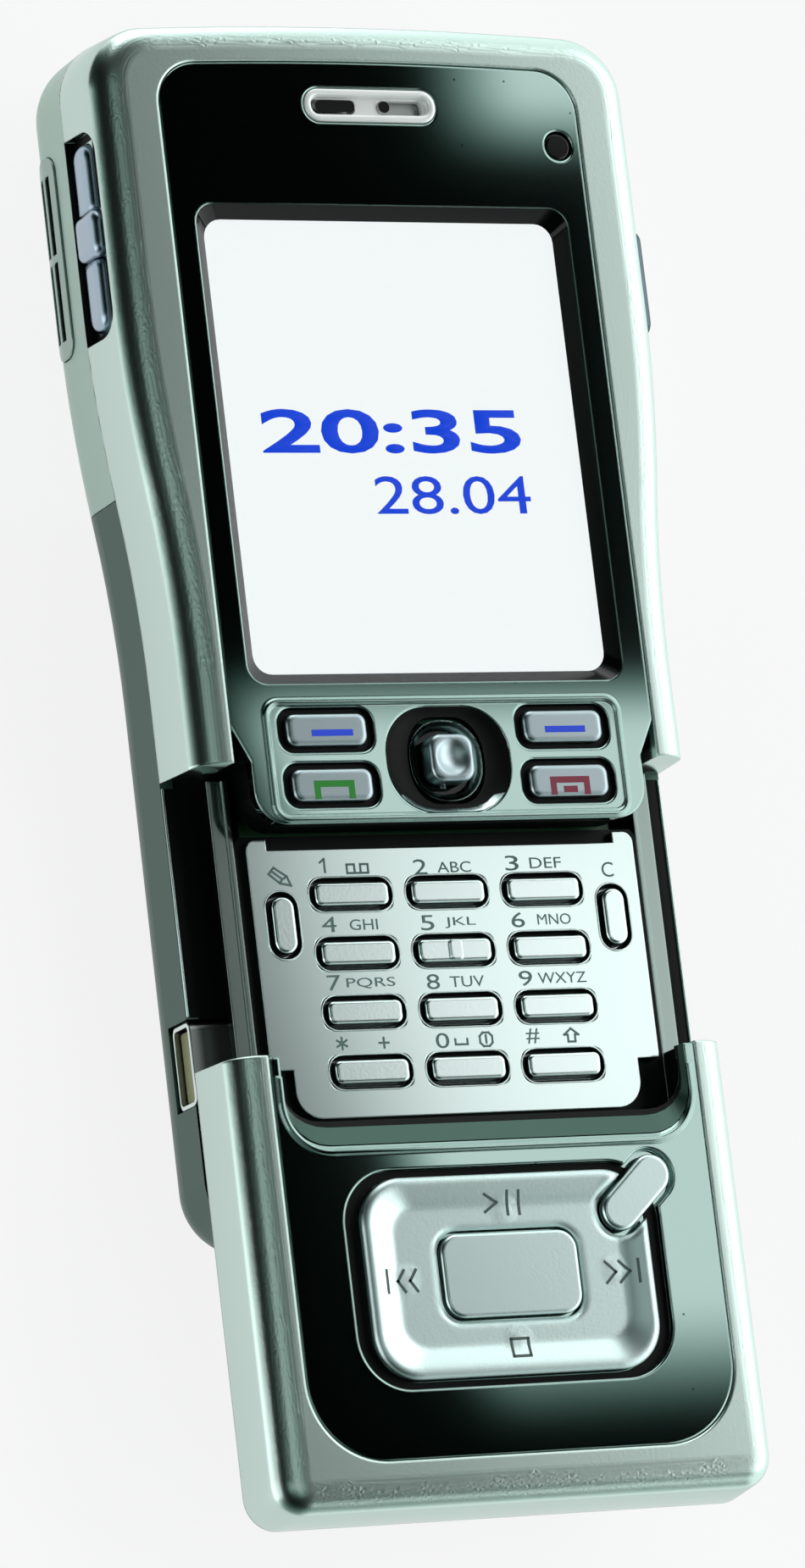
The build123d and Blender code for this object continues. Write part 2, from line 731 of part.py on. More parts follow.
with BuildPart() as earpiece_speaker:
    with BuildSketch(Plane.XY.offset(panel_low_z - flange_gap - capsule_size[2])):
        with Locations((0, earpiece_y)):
            RectangleRounded(capsule_size[0], capsule_size[1], earpiece_corner)
    extrude(amount=capsule_size[2])
save(earpiece_speaker, "earpiece_speaker")

with BuildPart() as light_sensor:
    with Locations((*sensor_center, panel_low_z + (panel_thickness - sensor_drop) / 2)):
        Cylinder(sensor_radius, panel_thickness - sensor_drop)
    fillet(light_sensor.faces().sort_by(Axis.Z)[-1].edges(), small_edge)
save(light_sensor, "light_sensor")

# ---- keypad: silver plate over a black surround -----------------------------------------------------
with BuildPart() as keypad_plate:
    with BuildSketch(Plane.XY.offset(plate_low_z)) as plate:
        with BuildLine():
            for side in (-1, 1):
                Polyline((0, keypad_top_y), (side * (keypad_half - keypad_ear[0]), keypad_top_y),
                         (side * (keypad_half - keypad_ear[0]), keypad_top_y + keypad_ear[1]),
                         (side * keypad_half, keypad_top_y + keypad_ear[1]),
                         (side * keypad_half, keypad_low_y + keypad_notch[1]),
                         (side * (keypad_half - keypad_notch[0]), keypad_low_y + keypad_notch[1]),
                         (side * (keypad_half - keypad_notch[0]), keypad_low_y), (0, keypad_low_y))
        make_face()
        fillet(plate.vertices().group_by(Axis.Y)[0], keypad_low_corner)
        ears = plate.vertices().group_by(Axis.Y)[-1].sort_by(Axis.X)
        fillet((ears[0], ears[-1]), keypad_corner)
    extrude(amount=keypad_plate_thickness)
    with BuildSketch(Plane.XY.offset(plate_low_z)):
        with Locations(*key_places):
            RectangleRounded(*key_recess, key_corner + loose_gap)
        with Locations((-side_key_x, side_key_y), (side_key_x, side_key_y)):
            RectangleRounded(*side_key_recess, side_key_recess_corner)
    extrude(amount=keypad_plate_thickness, mode=Mode.SUBTRACT)
save(keypad_plate, "keypad_plate")

with BuildPart() as keypad_surround:
    with BuildSketch(Plane.XY.offset(surround_low_z)):
        with Locations((0, (core_low_y + tongue_low_y) / 2)):
            RectangleRounded(2 * core_half, tongue_low_y - core_low_y - 2 * fit_gap, keypad_corner)
        with Locations(*key_places):
            RectangleRounded(*grown(key_cap, key_gap), key_corner + key_gap, mode=Mode.SUBTRACT)
        with Locations((-side_key_x, side_key_y), (side_key_x, side_key_y)):
            RectangleRounded(*grown(side_key_cap, key_gap), side_key_corner + key_gap, mode=Mode.SUBTRACT)
    extrude(amount=surround_thickness)
save(keypad_surround, "keypad_surround")


# ---- press keys -------------------------------------------------------------------------------------
def press_key(label, place, cap, flange, low_z, top_z, edge, ridge=None):
    """Key with a cap through an opening and a flange behind it that stops it coming out."""
    with BuildPart() as key:
        with BuildSketch(Plane.XY.offset(low_z)):
            with Locations(place):
                add(flange)
        extrude(amount=flange_thickness)
        with BuildSketch(Plane.XY.offset(low_z)):
            with Locations(place):
                add(cap)
        extrude(amount=top_z - low_z)
        fillet(key.faces().sort_by(Axis.Z)[-1].edges(), edge)
        if ridge is not None:
            with BuildSketch(Plane.XY.offset(top_z - edge)):
                with Locations(place):
                    add(ridge)
            extrude(amount=2 * edge)
    save(key, label)


keypad_flange_z = surround_low_z - flange_gap - flange_thickness
number_cap = rounded_rectangle(key_cap, key_corner)
number_flange = rounded_rectangle(grown(key_cap, flange_reach), key_corner)
middle_ridge = rounded_rectangle((key_ridge_width, key_cap[1] - loose_gap), small_edge)
for label, place in zip(key_names, key_places):
    press_key(label, place, number_cap, number_flange, keypad_flange_z, plate_top_z + key_proud, key_edge,
              middle_ridge if label == "key_5" else None)

side_key_shape = rounded_rectangle(side_key_cap, side_key_corner)
side_key_flange = rounded_rectangle(grown(side_key_cap, flange_reach), side_key_corner)
for label, side in (("edit_key", -1), ("clear_key", 1)):
    press_key(label, (side * side_key_x, side_key_y), side_key_shape, side_key_flange,
              keypad_flange_z, plate_top_z + key_proud, key_edge)

function_flange_z = panel_low_z - flange_gap - flange_thickness
function_shape = rounded_rectangle(function_cap, function_corner)
function_flange = rounded_rectangle(grown(function_cap, flange_reach), function_corner)
for label, place in zip(function_names, function_places):
    press_key(label, place, function_shape, function_flange, function_flange_z,
              panel_top_z + function_proud, function_edge)

# ---- joystick: ring on two side pivots, cap on two pivots across it --------------------------------
with BuildPart() as joystick_ring:
    with Locations((0, 0, pivot_z)):
        Cylinder(ring_outer, ring_height)
    with BuildSketch(Plane.YZ.offset(-lug_x - lug_size[0] / 2)):
        with Locations((0, pivot_z)):
            Circle(pivot_radius)
    extrude(amount=2 * lug_x + lug_size[0])
    with Locations((0, 0, pivot_z)):
        Cylinder(ring_bore, 2 * ring_height, mode=Mode.SUBTRACT)
    with BuildSketch(Plane.XZ.offset(-ring_outer)):
        with Locations((0, pivot_z)):
            Circle(pivot_radius + running_gap)
    extrude(amount=2 * ring_outer, mode=Mode.SUBTRACT)
save(joystick_ring, "joystick_ring")

stick_top_z = front_z + stick_proud
cap_low_z = pivot_z + ring_height / 2 + tilt_room
with BuildPart() as joystick_cap:
    with Locations((0, 0, (pivot_z - stick_root + cap_low_z) / 2)):
        Cylinder(stick_radius, cap_low_z - pivot_z + stick_root)
    with BuildSketch(Plane.XZ.offset(loose_gap - ring_outer)):
        with Locations((0, pivot_z)):
            Circle(pivot_radius)
    extrude(amount=2 * (ring_outer - loose_gap))
    with BuildSketch(Plane.XY.offset(cap_low_z)):
        RectangleRounded(stick_size, stick_size, stick_corner)
    extrude(amount=stick_top_z - cap_low_z)
    fillet(joystick_cap.faces().sort_by(Axis.Z)[-1].edges(), function_edge)
    with Locations((0, 0, stick_top_z - stick_dish_depth + stick_dish_radius)):
        Sphere(stick_dish_radius, mode=Mode.SUBTRACT)
save(joystick_cap, "joystick_cap")

# ---- circuit boards: main board with shields and keypad domes, and the function key board ----------
board_half = pocket_half - loose_gap
function_board_y = (tongue_low_y + core_wall + shelf_edge, shelf_high_y - loose_gap)
with BuildPart() as circuit_boards:
    box_between(around(0, board_half), (core_low_y + core_wall + loose_gap, opening_top_y - board_end_gap),
                (floor_z, board_top_z))
    with Locations(*[(x, y, board_top_z + dome_height / 2) for x, y in key_places]):
        Cylinder(dome_radius, dome_height)
    with Locations(*[(side * side_key_x, side_key_y, board_top_z + dome_height / 2) for side in (-1, 1)]):
        Cylinder(small_dome_radius, dome_height)
    for shield_y in ((window_low_y + shield_edge, screen_y - shield_space / 2),
                     (screen_y + shield_space / 2, window_high_y - shield_edge)):
        box_between(around(0, board_half - board_margin), shield_y, (board_top_z, shield_top_z))
    with Locations(*[(x, y, floor_z) for x, y in screw_places]):
        Cylinder(screw_radius + fit_gap, 5 * board_thickness, mode=Mode.SUBTRACT)
    # function key board on the shelf above
    with BuildSketch(Plane.XY.offset(function_board_z)):
        with Locations((0, sum(function_board_y) / 2)):
            RectangleRounded(2 * (tongue_half - function_board_margin),
                             function_board_y[1] - function_board_y[0], function_recess_corner)
    extrude(amount=board_thickness)
    with Locations(*[(x, y, function_board_top_z + function_dome_height / 2) for x, y in function_places]):
        Cylinder(small_dome_radius, function_dome_height)
    box_between(around(0, lug_x + lug_size[0] / 2 + loose_gap), around(0, ring_outer + ring_room),
                (function_board_z, function_board_top_z + cut_over), Mode.SUBTRACT)
save(circuit_boards, "circuit_boards")

with BuildPart() as case_screws:
    with Locations(*[(x, y, board_top_z + screw_head[1] / 2) for x, y in screw_places]):
        Cylinder(*screw_head)
    with Locations(*[(x, y, (deck_z + screw_tip + board_top_z) / 2) for x, y in screw_places]):
        Cylinder(screw_radius, board_top_z - deck_z - screw_tip)
save(case_screws, "case_screws")

# ---- slide rails: steel strips on the core's sides, each with a tongue for a runner ------------------
rail_face_x = core_half + rail_base
tongue_z = (slide_low_z + carriage_low_z) / 2
with BuildPart() as slide_rails:
    for side in (-1, 1):
        box_between(sorted((side * core_half, side * rail_face_x)), (core_low_y, rail_high_y),
                    (seam_z, plate_low_z))
        box_between(sorted((side * rail_face_x, side * (rail_face_x + rail_tongue[0]))),
                    (core_low_y, rail_high_y), around(tongue_z, rail_tongue[1] / 2))
save(slide_rails, "slide_rails")

runner_high_y = arm_end_y - fit_gap
runner_low_y = runner_high_y - runner_length
with BuildPart() as slide_runners:
    for side in (-1, 1):
        box_between(sorted((side * (rail_face_x + running_gap), side * (waist_half - frame_wall - fit_gap))),
                    (runner_low_y, runner_high_y), (slide_low_z + runner_lift, carriage_low_z))
        groove_x = rail_face_x + rail_tongue[0] + running_gap
        box_between(sorted((side * rail_face_x, side * groove_x)),
                    (runner_low_y - cut_over, runner_high_y + cut_over),
                    around(tongue_z, rail_tongue[1] / 2 + running_gap), Mode.SUBTRACT)
save(slide_runners, "slide_runners")

# ---- slider frame: the same steel section as the upper one, closed below -----------------------------
with BuildPart() as slide_frame:
    loft([arm_face(seam_z, waist_half, slide_low_y, slide_corner).face(),
          arm_face(front_z, waist_half - side_lean, slide_low_y + side_lean, slide_corner).face()])
    rim = slide_frame.faces().sort_by(Axis.Z)[-1].edges().sort_by(Axis.Y)[:-1]
    fillet(rim, front_rounding)
    extrude(arm_face(seam_z, waist_half - frame_wall, slide_low_y + bar_thickness, cavity_corner),
            amount=ceiling_z - seam_z, mode=Mode.SUBTRACT)
    extrude(slide_opening_face(seam_z, 0, arm_end_y + cut_over), amount=2 * frame_depth, mode=Mode.SUBTRACT)
    box_between(around(0, head_half), (slide_low_y - cut_over, 0),
                (seam_z - cut_over, slide_low_z), Mode.SUBTRACT)
save(slide_frame, "slide_frame")


# ---- slider panel: scooped upper edge, recess for the music pad and its oval shortcut key -------------
def shortcut_oval(z, grow):
    """Oval of the slanting shortcut key, grown outwards."""
    with BuildSketch(Plane.XY.offset(z)) as slot:
        with Locations(Location((*shortcut_place, 0), (0, 0, shortcut_angle))):
            SlotOverall(shortcut_length + 2 * grow, shortcut_width + 2 * grow)
    return slot.sketch


with BuildPart() as slide_panel:
    extrude(slide_opening_face(slide_panel_low_z, fit_gap, arm_end_y - 2 * fit_gap),
            amount=slide_panel_thickness)
    scoop_high = scoop_face(panel_top_z, scoop_slope)
    extrude(scoop_face(slide_panel_low_z, 0), amount=scoop_lip, mode=Mode.SUBTRACT)
    loft([scoop_face(slide_panel_low_z + scoop_lip, 0).face(), scoop_high.face()], mode=Mode.SUBTRACT)
    with BuildSketch(Plane.XY.offset(panel_top_z)):
        add(scoop_high)
        offset(amount=bead_width)
        add(scoop_high, mode=Mode.SUBTRACT)
        with Locations((0, arm_end_y)):
            Rectangle(3 * head_half, 4 * cut_over, mode=Mode.SUBTRACT)
    extrude(amount=bead_height)
    with BuildSketch(Plane.XY.offset(pad_floor_z)):
        with Locations((0, pad_y)):
            RectangleRounded(*pad_recess, pad_recess_corner)
        add(shortcut_oval(0, shortcut_room))
    extrude(amount=cut_over, mode=Mode.SUBTRACT)
    with BuildSketch(Plane.XY.offset(slide_panel_low_z)):
        with Locations(*leg_places, shortcut_place):
            Circle(leg_radius + leg_room)
        with Locations((0, pad_y)):
            Circle(stem_radius + leg_room)
    extrude(amount=slide_panel_thickness, mode=Mode.SUBTRACT)
save(slide_panel, "slide_panel")

# ---- slide carriage: plate under the panel that ties the arms and carries the runners ----------------
carriage_grow = side_border - frame_wall - loose_gap
carriage_high_y = scoop_low_y - carriage_setback
with BuildPart() as slide_carriage:
    extrude(slide_opening_face(carriage_low_z, -carriage_grow, carriage_high_y), amount=carriage_thickness)
    for side in (-1, 1):
        box_between(sorted((side * (rail_face_x + fit_gap), side * (opening_half + carriage_grow))),
                    (carriage_high_y - cut_over, arm_end_y - 2 * fit_gap),
                    (carriage_low_z, slide_panel_low_z))
    box_between(pocket_x, pocket_y, (music_board_z, front_z), Mode.SUBTRACT)
save(slide_carriage, "slide_carriage")

with BuildPart() as music_board:
    box_between((pocket_x[0] + key_gap, pocket_x[1] - key_gap),
                (pocket_y[0] + key_gap, pocket_y[1] - key_gap),
                (music_board_z, music_board_top_z))
    domes = (*leg_places, shortcut_place, (0, pad_y))
    with Locations(*[(x, y, music_board_top_z + music_dome_height / 2) for x, y in domes]):
        Cylinder(stem_radius, music_dome_height)
save(music_board, "music_board")

with BuildPart() as music_keymat:
    with BuildSketch(Plane.XY.offset(keymat_z)):
        with Locations((0, pad_y)):
            RectangleRounded(2 * (leg_reach[0] + keymat_margin[0]), 2 * (leg_reach[1] + keymat_margin[1]),
                             keymat_corner)
            Circle(keymat_hole, mode=Mode.SUBTRACT)
        with Locations(shortcut_place):
            Circle(keymat_hole, mode=Mode.SUBTRACT)
    extrude(amount=keymat_thickness)
save(music_keymat, "music_keymat")

leg_low_z = keymat_z + keymat_thickness + key_gap
with BuildPart() as music_pad:
    with BuildSketch(Plane.XY.offset(pad_low_z)):
        with Locations((0, pad_y)):
            RectangleRounded(*pad_size, pad_corner)
    extrude(amount=pad_top_z - pad_low_z)
    fillet(music_pad.faces().sort_by(Axis.Z)[-1].edges(), pad_edge)
    extrude(shortcut_oval(pad_low_z, shortcut_gap), amount=2 * cut_over, mode=Mode.SUBTRACT)
    with BuildSketch(Plane.XY.offset(pad_top_z)) as dish_high:
        with Locations((0, pad_y)):
            RectangleRounded(*grown(pad_size, -pad_rim), pad_corner - pad_rim)
    with BuildSketch(Plane.XY.offset(pad_top_z - pad_dish_depth)) as dish_low:
        with Locations((0, pad_y)):
            RectangleRounded(*grown(pad_size, -pad_rim - pad_dish_slope),
                             pad_corner - pad_rim - pad_dish_slope / 2)
    loft([dish_low.sketch.face(), dish_high.sketch.face()], mode=Mode.SUBTRACT)
    with BuildSketch(Plane.XY.offset(pad_low_z)):
        with Locations((0, pad_y)):
            RectangleRounded(*grown(play_key_size, loose_gap), play_key_corner + loose_gap)
    extrude(amount=2 * cut_over, mode=Mode.SUBTRACT)
    with BuildSketch(Plane.XY.offset(leg_low_z)):
        with Locations(*leg_places):
            Circle(leg_radius)
    extrude(amount=pad_low_z - leg_low_z)
save(music_pad, "music_pad")

with BuildPart() as music_play_key:
    with BuildSketch(Plane.XY.offset(pad_low_z)):
        with Locations((0, pad_y)):
            RectangleRounded(*play_key_size, play_key_corner)
    extrude(amount=pad_top_z - pad_low_z - fit_gap)
    fillet(music_play_key.faces().sort_by(Axis.Z)[-1].edges(), small_edge)
    with BuildSketch(Plane.XY.offset(stem_low_z)):
        with Locations((0, pad_y)):
            Circle(stem_radius)
    extrude(amount=pad_low_z - stem_low_z)
save(music_play_key, "music_play_key")

with BuildPart() as shortcut_key:
    extrude(shortcut_oval(pad_low_z, 0), amount=pad_top_z - pad_low_z)
    fillet(shortcut_key.faces().sort_by(Axis.Z)[-1].edges(), pad_edge)
    with BuildSketch(Plane.XY.offset(stem_low_z)):
        with Locations(shortcut_place):
            Circle(leg_radius)
    extrude(amount=pad_low_z - stem_low_z)
save(shortcut_key, "shortcut_key")


# ---- side and top keys -------------------------------------------------------------------------------
def edge_key(label, plane, cap_face, flange, reach, flange_shift=0.0, rounding=small_edge, side=0):
    """Key in an edge wall: a flange inside the wall and a cap out through its opening. A side of 1 or
    -1 leaves the cap's end away from that side square."""
    with BuildPart() as key:
        with BuildSketch(plane):
            with Locations((0, flange_shift)):
                RectangleRounded(*flange, flange_corner)
        extrude(amount=side_flange)
        with BuildSketch(plane):
            add(cap_face)
        extrude(amount=reach)
        outward = Axis(plane.origin, plane.z_dir)
        rim = key.faces().sort_by(outward)[-1].edges().sort_by(Axis.Y)
        fillet({1: rim[1:], 0: rim, -1: rim[:-1]}[side], rounding)
    save(key, label)


flange_low_x = flange_x - side_flange
flange_low_y = flange_top_y - flange_gap - side_flange
for label, side, cap, corner, proud in volume_keys:
    cap_place = (-flange_low_x, volume_y + side * volume_step, seam_z + volume_cap_lift + cap[1] / 2)
    edge_key(label, Plane(cap_place, x_dir=(0, 1, 0), z_dir=(-1, 0, 0)), volume_cap_face(side, cap, corner),
             (cap[0], cap[1] + side_flange_reach), head_half + proud - flange_low_x,
             flange_gap - side_flange_reach / 2, volume_cap_rounding, side)
edge_key("camera_key", Plane((flange_low_x, camera_key_y, edge_key_z), x_dir=(0, 1, 0), z_dir=(1, 0, 0)),
         cap_outline(camera_cap), grown(camera_cap, side_flange_reach), head_half + cap_proud - flange_low_x)
edge_key("power_key", Plane((power_key_x, flange_low_y, top_key_z), x_dir=(1, 0, 0), z_dir=(0, 1, 0)),
         cap_outline(power_cap), grown(power_cap, side_flange_reach), top_y - fit_gap - flange_low_y)

hold_rest_x = hold_x - hold_travel / 2
hold_stem = (hold_slot[0] - hold_travel - 2 * key_gap, hold_slot[1] - 2 * fit_gap)
hold_plane = Plane((hold_rest_x, flange_low_y, top_key_z), x_dir=(1, 0, 0), z_dir=(0, 1, 0))
with BuildPart() as hold_switch:
    with BuildSketch(hold_plane):
        RectangleRounded(*hold_flange, flange_corner)
    extrude(amount=side_flange)
    with BuildSketch(hold_plane):
        add(cap_outline(hold_stem))
    extrude(amount=hold_floor_y + key_gap - flange_low_y)
    with BuildSketch(hold_plane.offset(hold_floor_y + fit_gap - flange_low_y)):
        RectangleRounded(*hold_knob, hold_knob_corner)
    extrude(amount=hold_knob_height)
    fillet(hold_switch.faces().sort_by(Axis.Y)[-1].edges(), key_gap)
save(hold_switch, "hold_switch")

# ---- parts inside the rear shells ----------------------------------------------------------------------
with BuildPart() as battery:
    box_between(around(0, battery_width / 2), battery_y,
                (back_wall + fit_gap, back_wall + fit_gap + battery_thickness))
    fillet(battery.edges().filter_by(Axis.Y), battery_rounding)
save(battery, "battery")

with BuildPart() as hard_drive:
    box_between((drive_x, drive_x + drive_size[0]), (drive_low_y, drive_low_y + drive_size[1]),
                (back_wall + drive_lift, back_wall + drive_lift + drive_size[2]))
    chamfer(hard_drive.edges().filter_by(Axis.Z), drive_chamfer)
save(hard_drive, "hard_drive")

camera_low_z = back_wall + key_gap
with BuildPart() as camera_module:
    box_between(around(0, camera_size[0] / 2), around(camera_y, camera_size[1] / 2),
                (camera_low_z, camera_low_z + camera_size[2]))
    with Locations((0, camera_y, camera_low_z)):
        Cylinder(*camera_lens, mode=Mode.SUBTRACT)
save(camera_module, "camera_module")

camera_glass = back_wall - key_gap
with BuildPart() as camera_window:
    with Locations((0, camera_y, camera_window_sink + camera_glass / 2)):
        Cylinder(camera_window_radius, camera_glass)
    chamfer(camera_window.faces().sort_by(Axis.Z)[0].edges(), small_edge)
save(camera_window, "camera_window")

with BuildPart() as loudspeaker:
    box_between((-head_half + 2 * rear_wall, -battery_width / 2 - speaker_gap),
                around(grille_y, speaker_length / 2), speaker_z)
    fillet(loudspeaker.edges().filter_by(Axis.Z), speaker_rounding)
save(loudspeaker, "loudspeaker")

grille_slot_length = (grille_length - grille_bar) / 2 - grille_end
with BuildPart() as loudspeaker_grille:
    add(rounded_tub(-grille_proud, -grille_proud, back_rounding + grille_proud))
    add(rounded_tub(rear_wall, back_wall, back_rounding - rear_wall), mode=Mode.SUBTRACT)
    extrude(grille_face(-fit_gap), amount=2 * rear_wall + cut_over, mode=Mode.INTERSECT)
    for slot_z in grille_slot_z:
        for side in (-1, 1):
            box_between((-head_half - cut_over, 0),
                        around(grille_y + side * (grille_slot_length + grille_bar) / 2,
                               grille_slot_length / 2),
                        around(slot_z, grille_slot_height / 2), Mode.SUBTRACT)
save(loudspeaker_grille, "loudspeaker_grille")

usb_mouth_x = -waist_half + usb_sink
with BuildPart() as usb_connector:
    with BuildSketch(Plane.YZ.offset(usb_mouth_x)):
        with Locations((usb_y, usb_z)):
            RectangleRounded(usb_size[1], usb_size[2], usb_corner)
    extrude(amount=usb_size[0])
    with BuildSketch(Plane.YZ.offset(usb_mouth_x)):
        with Locations((usb_y, usb_z)):
            RectangleRounded(usb_size[1] - 2 * usb_wall, usb_size[2] - 2 * usb_wall, usb_corner - usb_wall)
    extrude(amount=usb_size[0] - usb_back, mode=Mode.SUBTRACT)
    box_between((usb_mouth_x + usb_tongue_sink, usb_mouth_x + usb_tongue_sink + usb_tongue[0]),
                around(usb_y, usb_tongue[1] / 2), around(usb_z, usb_tongue[2] / 2))
save(usb_connector, "usb_connector")

with BuildPart() as headphone_jack:
    box_between(around(socket_x, jack_half[0]),
                (socket_mouth_y - socket_length - loose_gap, socket_mouth_y - jack_step),
                around(socket_z, jack_half[1]))
    with BuildSketch(Plane.XZ.offset(-socket_mouth_y)):
        with Locations((socket_x, socket_z)):
            Circle(socket_radius + jack_collar)
    extrude(amount=jack_step + cut_over)
    with BuildSketch(Plane.XZ.offset(-socket_mouth_y)):
        with Locations((socket_x, socket_z)):
            Circle(socket_radius)
    extrude(amount=socket_length, mode=Mode.SUBTRACT)
save(headphone_jack, "headphone_jack")

motor_x = motor_place[0] - waist_half
motor_y = bottom_y + motor_place[1]
shaft_y = motor_y + motor_length
with BuildPart() as vibration_motor:
    with BuildSketch(Plane.XZ.offset(-motor_y)):
        with Locations((motor_x, motor_place[2])):
            Circle(motor_radius)
    extrude(amount=-motor_length)
    with BuildSketch(Plane.XZ.offset(-shaft_y)):
        with Locations((motor_x, motor_place[2])):
            Circle(motor_shaft[0])
    extrude(amount=-motor_shaft[1])
    with BuildSketch(Plane.XZ.offset(-shaft_y - motor_weight_gap)):
        with Locations((motor_x, motor_place[2])):
            Circle(motor_weight[0])
        with Locations((motor_x - motor_weight[0], motor_place[2])):
            Rectangle(motor_radius, 2 * motor_radius, mode=Mode.SUBTRACT)
    extrude(amount=-motor_weight[1])
save(vibration_motor, "vibration_motor")

antenna_top_y = top_y - antenna_place[1]
antenna_x = (antenna_place[0], antenna_place[0] + antenna_size[0])
antenna_z = (antenna_place[2], antenna_place[2] + antenna_size[2])
with BuildPart() as antenna:
    box_between(antenna_x, (antenna_top_y - antenna_size[1], antenna_top_y), antenna_z)
    box_between((antenna_x[0] + antenna_wall[0], antenna_x[1] - antenna_wall[0]),
                (antenna_top_y - antenna_size[1] - cut_over, antenna_top_y - antenna_wall[1]),
                (antenna_z[0] - cut_over, antenna_z[1] - antenna_wall[2]), Mode.SUBTRACT)
save(antenna, "antenna")
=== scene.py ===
import math

import bpy
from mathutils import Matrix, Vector


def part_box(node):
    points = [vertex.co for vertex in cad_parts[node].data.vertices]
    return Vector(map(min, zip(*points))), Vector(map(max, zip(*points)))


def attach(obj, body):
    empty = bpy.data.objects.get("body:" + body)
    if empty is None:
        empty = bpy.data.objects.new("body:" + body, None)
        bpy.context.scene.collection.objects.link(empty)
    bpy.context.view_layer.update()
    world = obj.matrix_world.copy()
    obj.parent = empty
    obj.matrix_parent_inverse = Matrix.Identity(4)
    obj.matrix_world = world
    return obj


bl_info = {
    "name": "Slider phone",
    "version": (1, 0, 0),
    "blender": (4, 5, 0),
    "location": "3D View > Sidebar > Slider Phone",
    "description": "Dresses the packed slider phone with its finishes, lettering and studio",
    "category": "Object",
}

MM = 0.001

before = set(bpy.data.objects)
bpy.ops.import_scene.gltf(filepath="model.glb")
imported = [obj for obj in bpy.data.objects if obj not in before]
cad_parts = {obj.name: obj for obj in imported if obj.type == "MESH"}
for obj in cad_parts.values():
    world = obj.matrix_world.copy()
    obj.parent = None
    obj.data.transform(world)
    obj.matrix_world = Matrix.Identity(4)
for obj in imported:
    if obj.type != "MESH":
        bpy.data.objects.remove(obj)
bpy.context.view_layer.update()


# ---------------------------------------------------------------- colours

def linear(code):
    """An sRGB hex colour as linear red, green, blue and alpha."""
    parts = [int(code[place:place + 2], 16) / 255 for place in (1, 3, 5)]
    return tuple(part / 12.92 if part <= 0.04045 else ((part + 0.055) / 1.055) ** 2.4 for part in parts) + (1.0,)


def colour(name, description, code):
    """A colour that the sidebar can change, with its sRGB hex default."""
    return bpy.props.FloatVectorProperty(
        name=name, description=description, default=linear(code), size=4, min=0, max=1, subtype="COLOR")


def length(name, description, millimetres):
    """A length that the sidebar can change, with its default given in millimetres."""
    return bpy.props.FloatProperty(
        name=name, description=description, default=millimetres * MM, min=0, unit="LENGTH", subtype="DISTANCE")


class PhoneColours(bpy.types.PropertyGroup):
    """Colours of the phone's finishes and inks."""

    steel: colour("Steel", "Bead-blasted steel of the two frames", "#C3D5CF")
    panel: colour("Panel", "Dark polished steel of the panels", "#95ACA6")
    gloss: colour("Gloss black", "Black lacquer of the joystick's ring", "#060808")
    cover: colour("Cover", "Painted plastic of the rear cover", "#BCD4CA")
    housing: colour("Housing", "Anodised aluminium of the rear housing", "#485E56")
    chassis: colour("Chassis", "Moulded plastic of the inner parts", "#060808")
    rail: colour("Rails", "Polished steel of the slide rails", "#8C9A96")
    plate: colour("Keypad plate", "Satin plating of the keypad plate", "#CEDEDB")
    key: colour("Keys", "Satin plating of the number keys", "#DDEBE9")
    function_key: colour("Function keys", "Satin plating of the function keys", "#A9B7BC")
    side_key: colour("Side keys", "Bluish plating of the side keys", "#A6B6C4")
    music: colour("Music keys", "Satin plating of the music keys", "#CCDEDD")
    chrome: colour("Chrome", "Bright plating of grilles and trims", "#D5E2DF")
    window: colour("Window", "Clear acrylic over the display", "#FFFFFF")
    display: colour("Display", "Lit face of the display", "#F2F8F8")
    digits: colour("Display digits", "Digits that the display shows", "#0B42DC")
    legend: colour("Legend ink", "Ink of the keypad legends", "#5A7872")
    blue: colour("Blue ink", "Dashes on the softkeys", "#0F46F0")
    green: colour("Green ink", "Sign on the send key", "#108A1C")
    red: colour("Red ink", "Sign on the end key", "#8A2440")
    engraving: colour("Engraving", "Filled engraving of the music signs", "#4A5C58")
    floor: colour("Floor", "Studio floor", "#F4F4F4")
    room: colour("Room", "Bright walls of the studio, as the metals mirror them", "#EEF6F4")
    dusk: colour("Dusk", "Dim walls of the studio, as the metals mirror them", "#7DB8A8")


class PhoneSizes(bpy.types.PropertyGroup):
    """Sizes of the pieces that are added to the CAD model."""

    ink: length("Ink thickness", "Thickness of printed ink", 0.02)
    sign_line: length("Sign line", "Line width of the small signs on the keypad plate", 0.2)
    key_sign_line: length("Key sign line", "Line width of the signs on the function keys", 0.6)
    music_line: length("Music sign line", "Line width of the signs on the music pad", 0.26)
    lining: length("Lining thickness", "Thickness of the linings of grooves and edges", 0.02)
    trim_line: length("Trim width", "Width of the bright trims round the key openings", 0.14)
    trim_height: length("Trim height", "Height of the bright trims round the key openings", 0.05)
    floor_side: length("Floor side", "Side of the studio floor", 6000.0)


# ---------------------------------------------------------------- finishes

def add_node(tree, kind, links=None, **settings):
    """Adds a node, sets its properties and fills its sockets with values or with links."""
    made = tree.nodes.new(kind)
    for name, value in settings.items():
        setattr(made, name, value)
    for socket, value in (links or {}).items():
        if isinstance(value, bpy.types.NodeSocket):
            tree.links.new(value, made.inputs[socket])
        else:
            made.inputs[socket].default_value = value
    return made


def cleared_tree(owner):
    """The emptied node tree of a material, lamp or world."""
    owner.use_nodes = True
    owner.node_tree.nodes.clear()
    return owner.node_tree


def calculated(tree, operation, *values):
    """The result of a sum on values or links."""
    return add_node(tree, "ShaderNodeMath", dict(enumerate(values)), operation=operation).outputs[0]


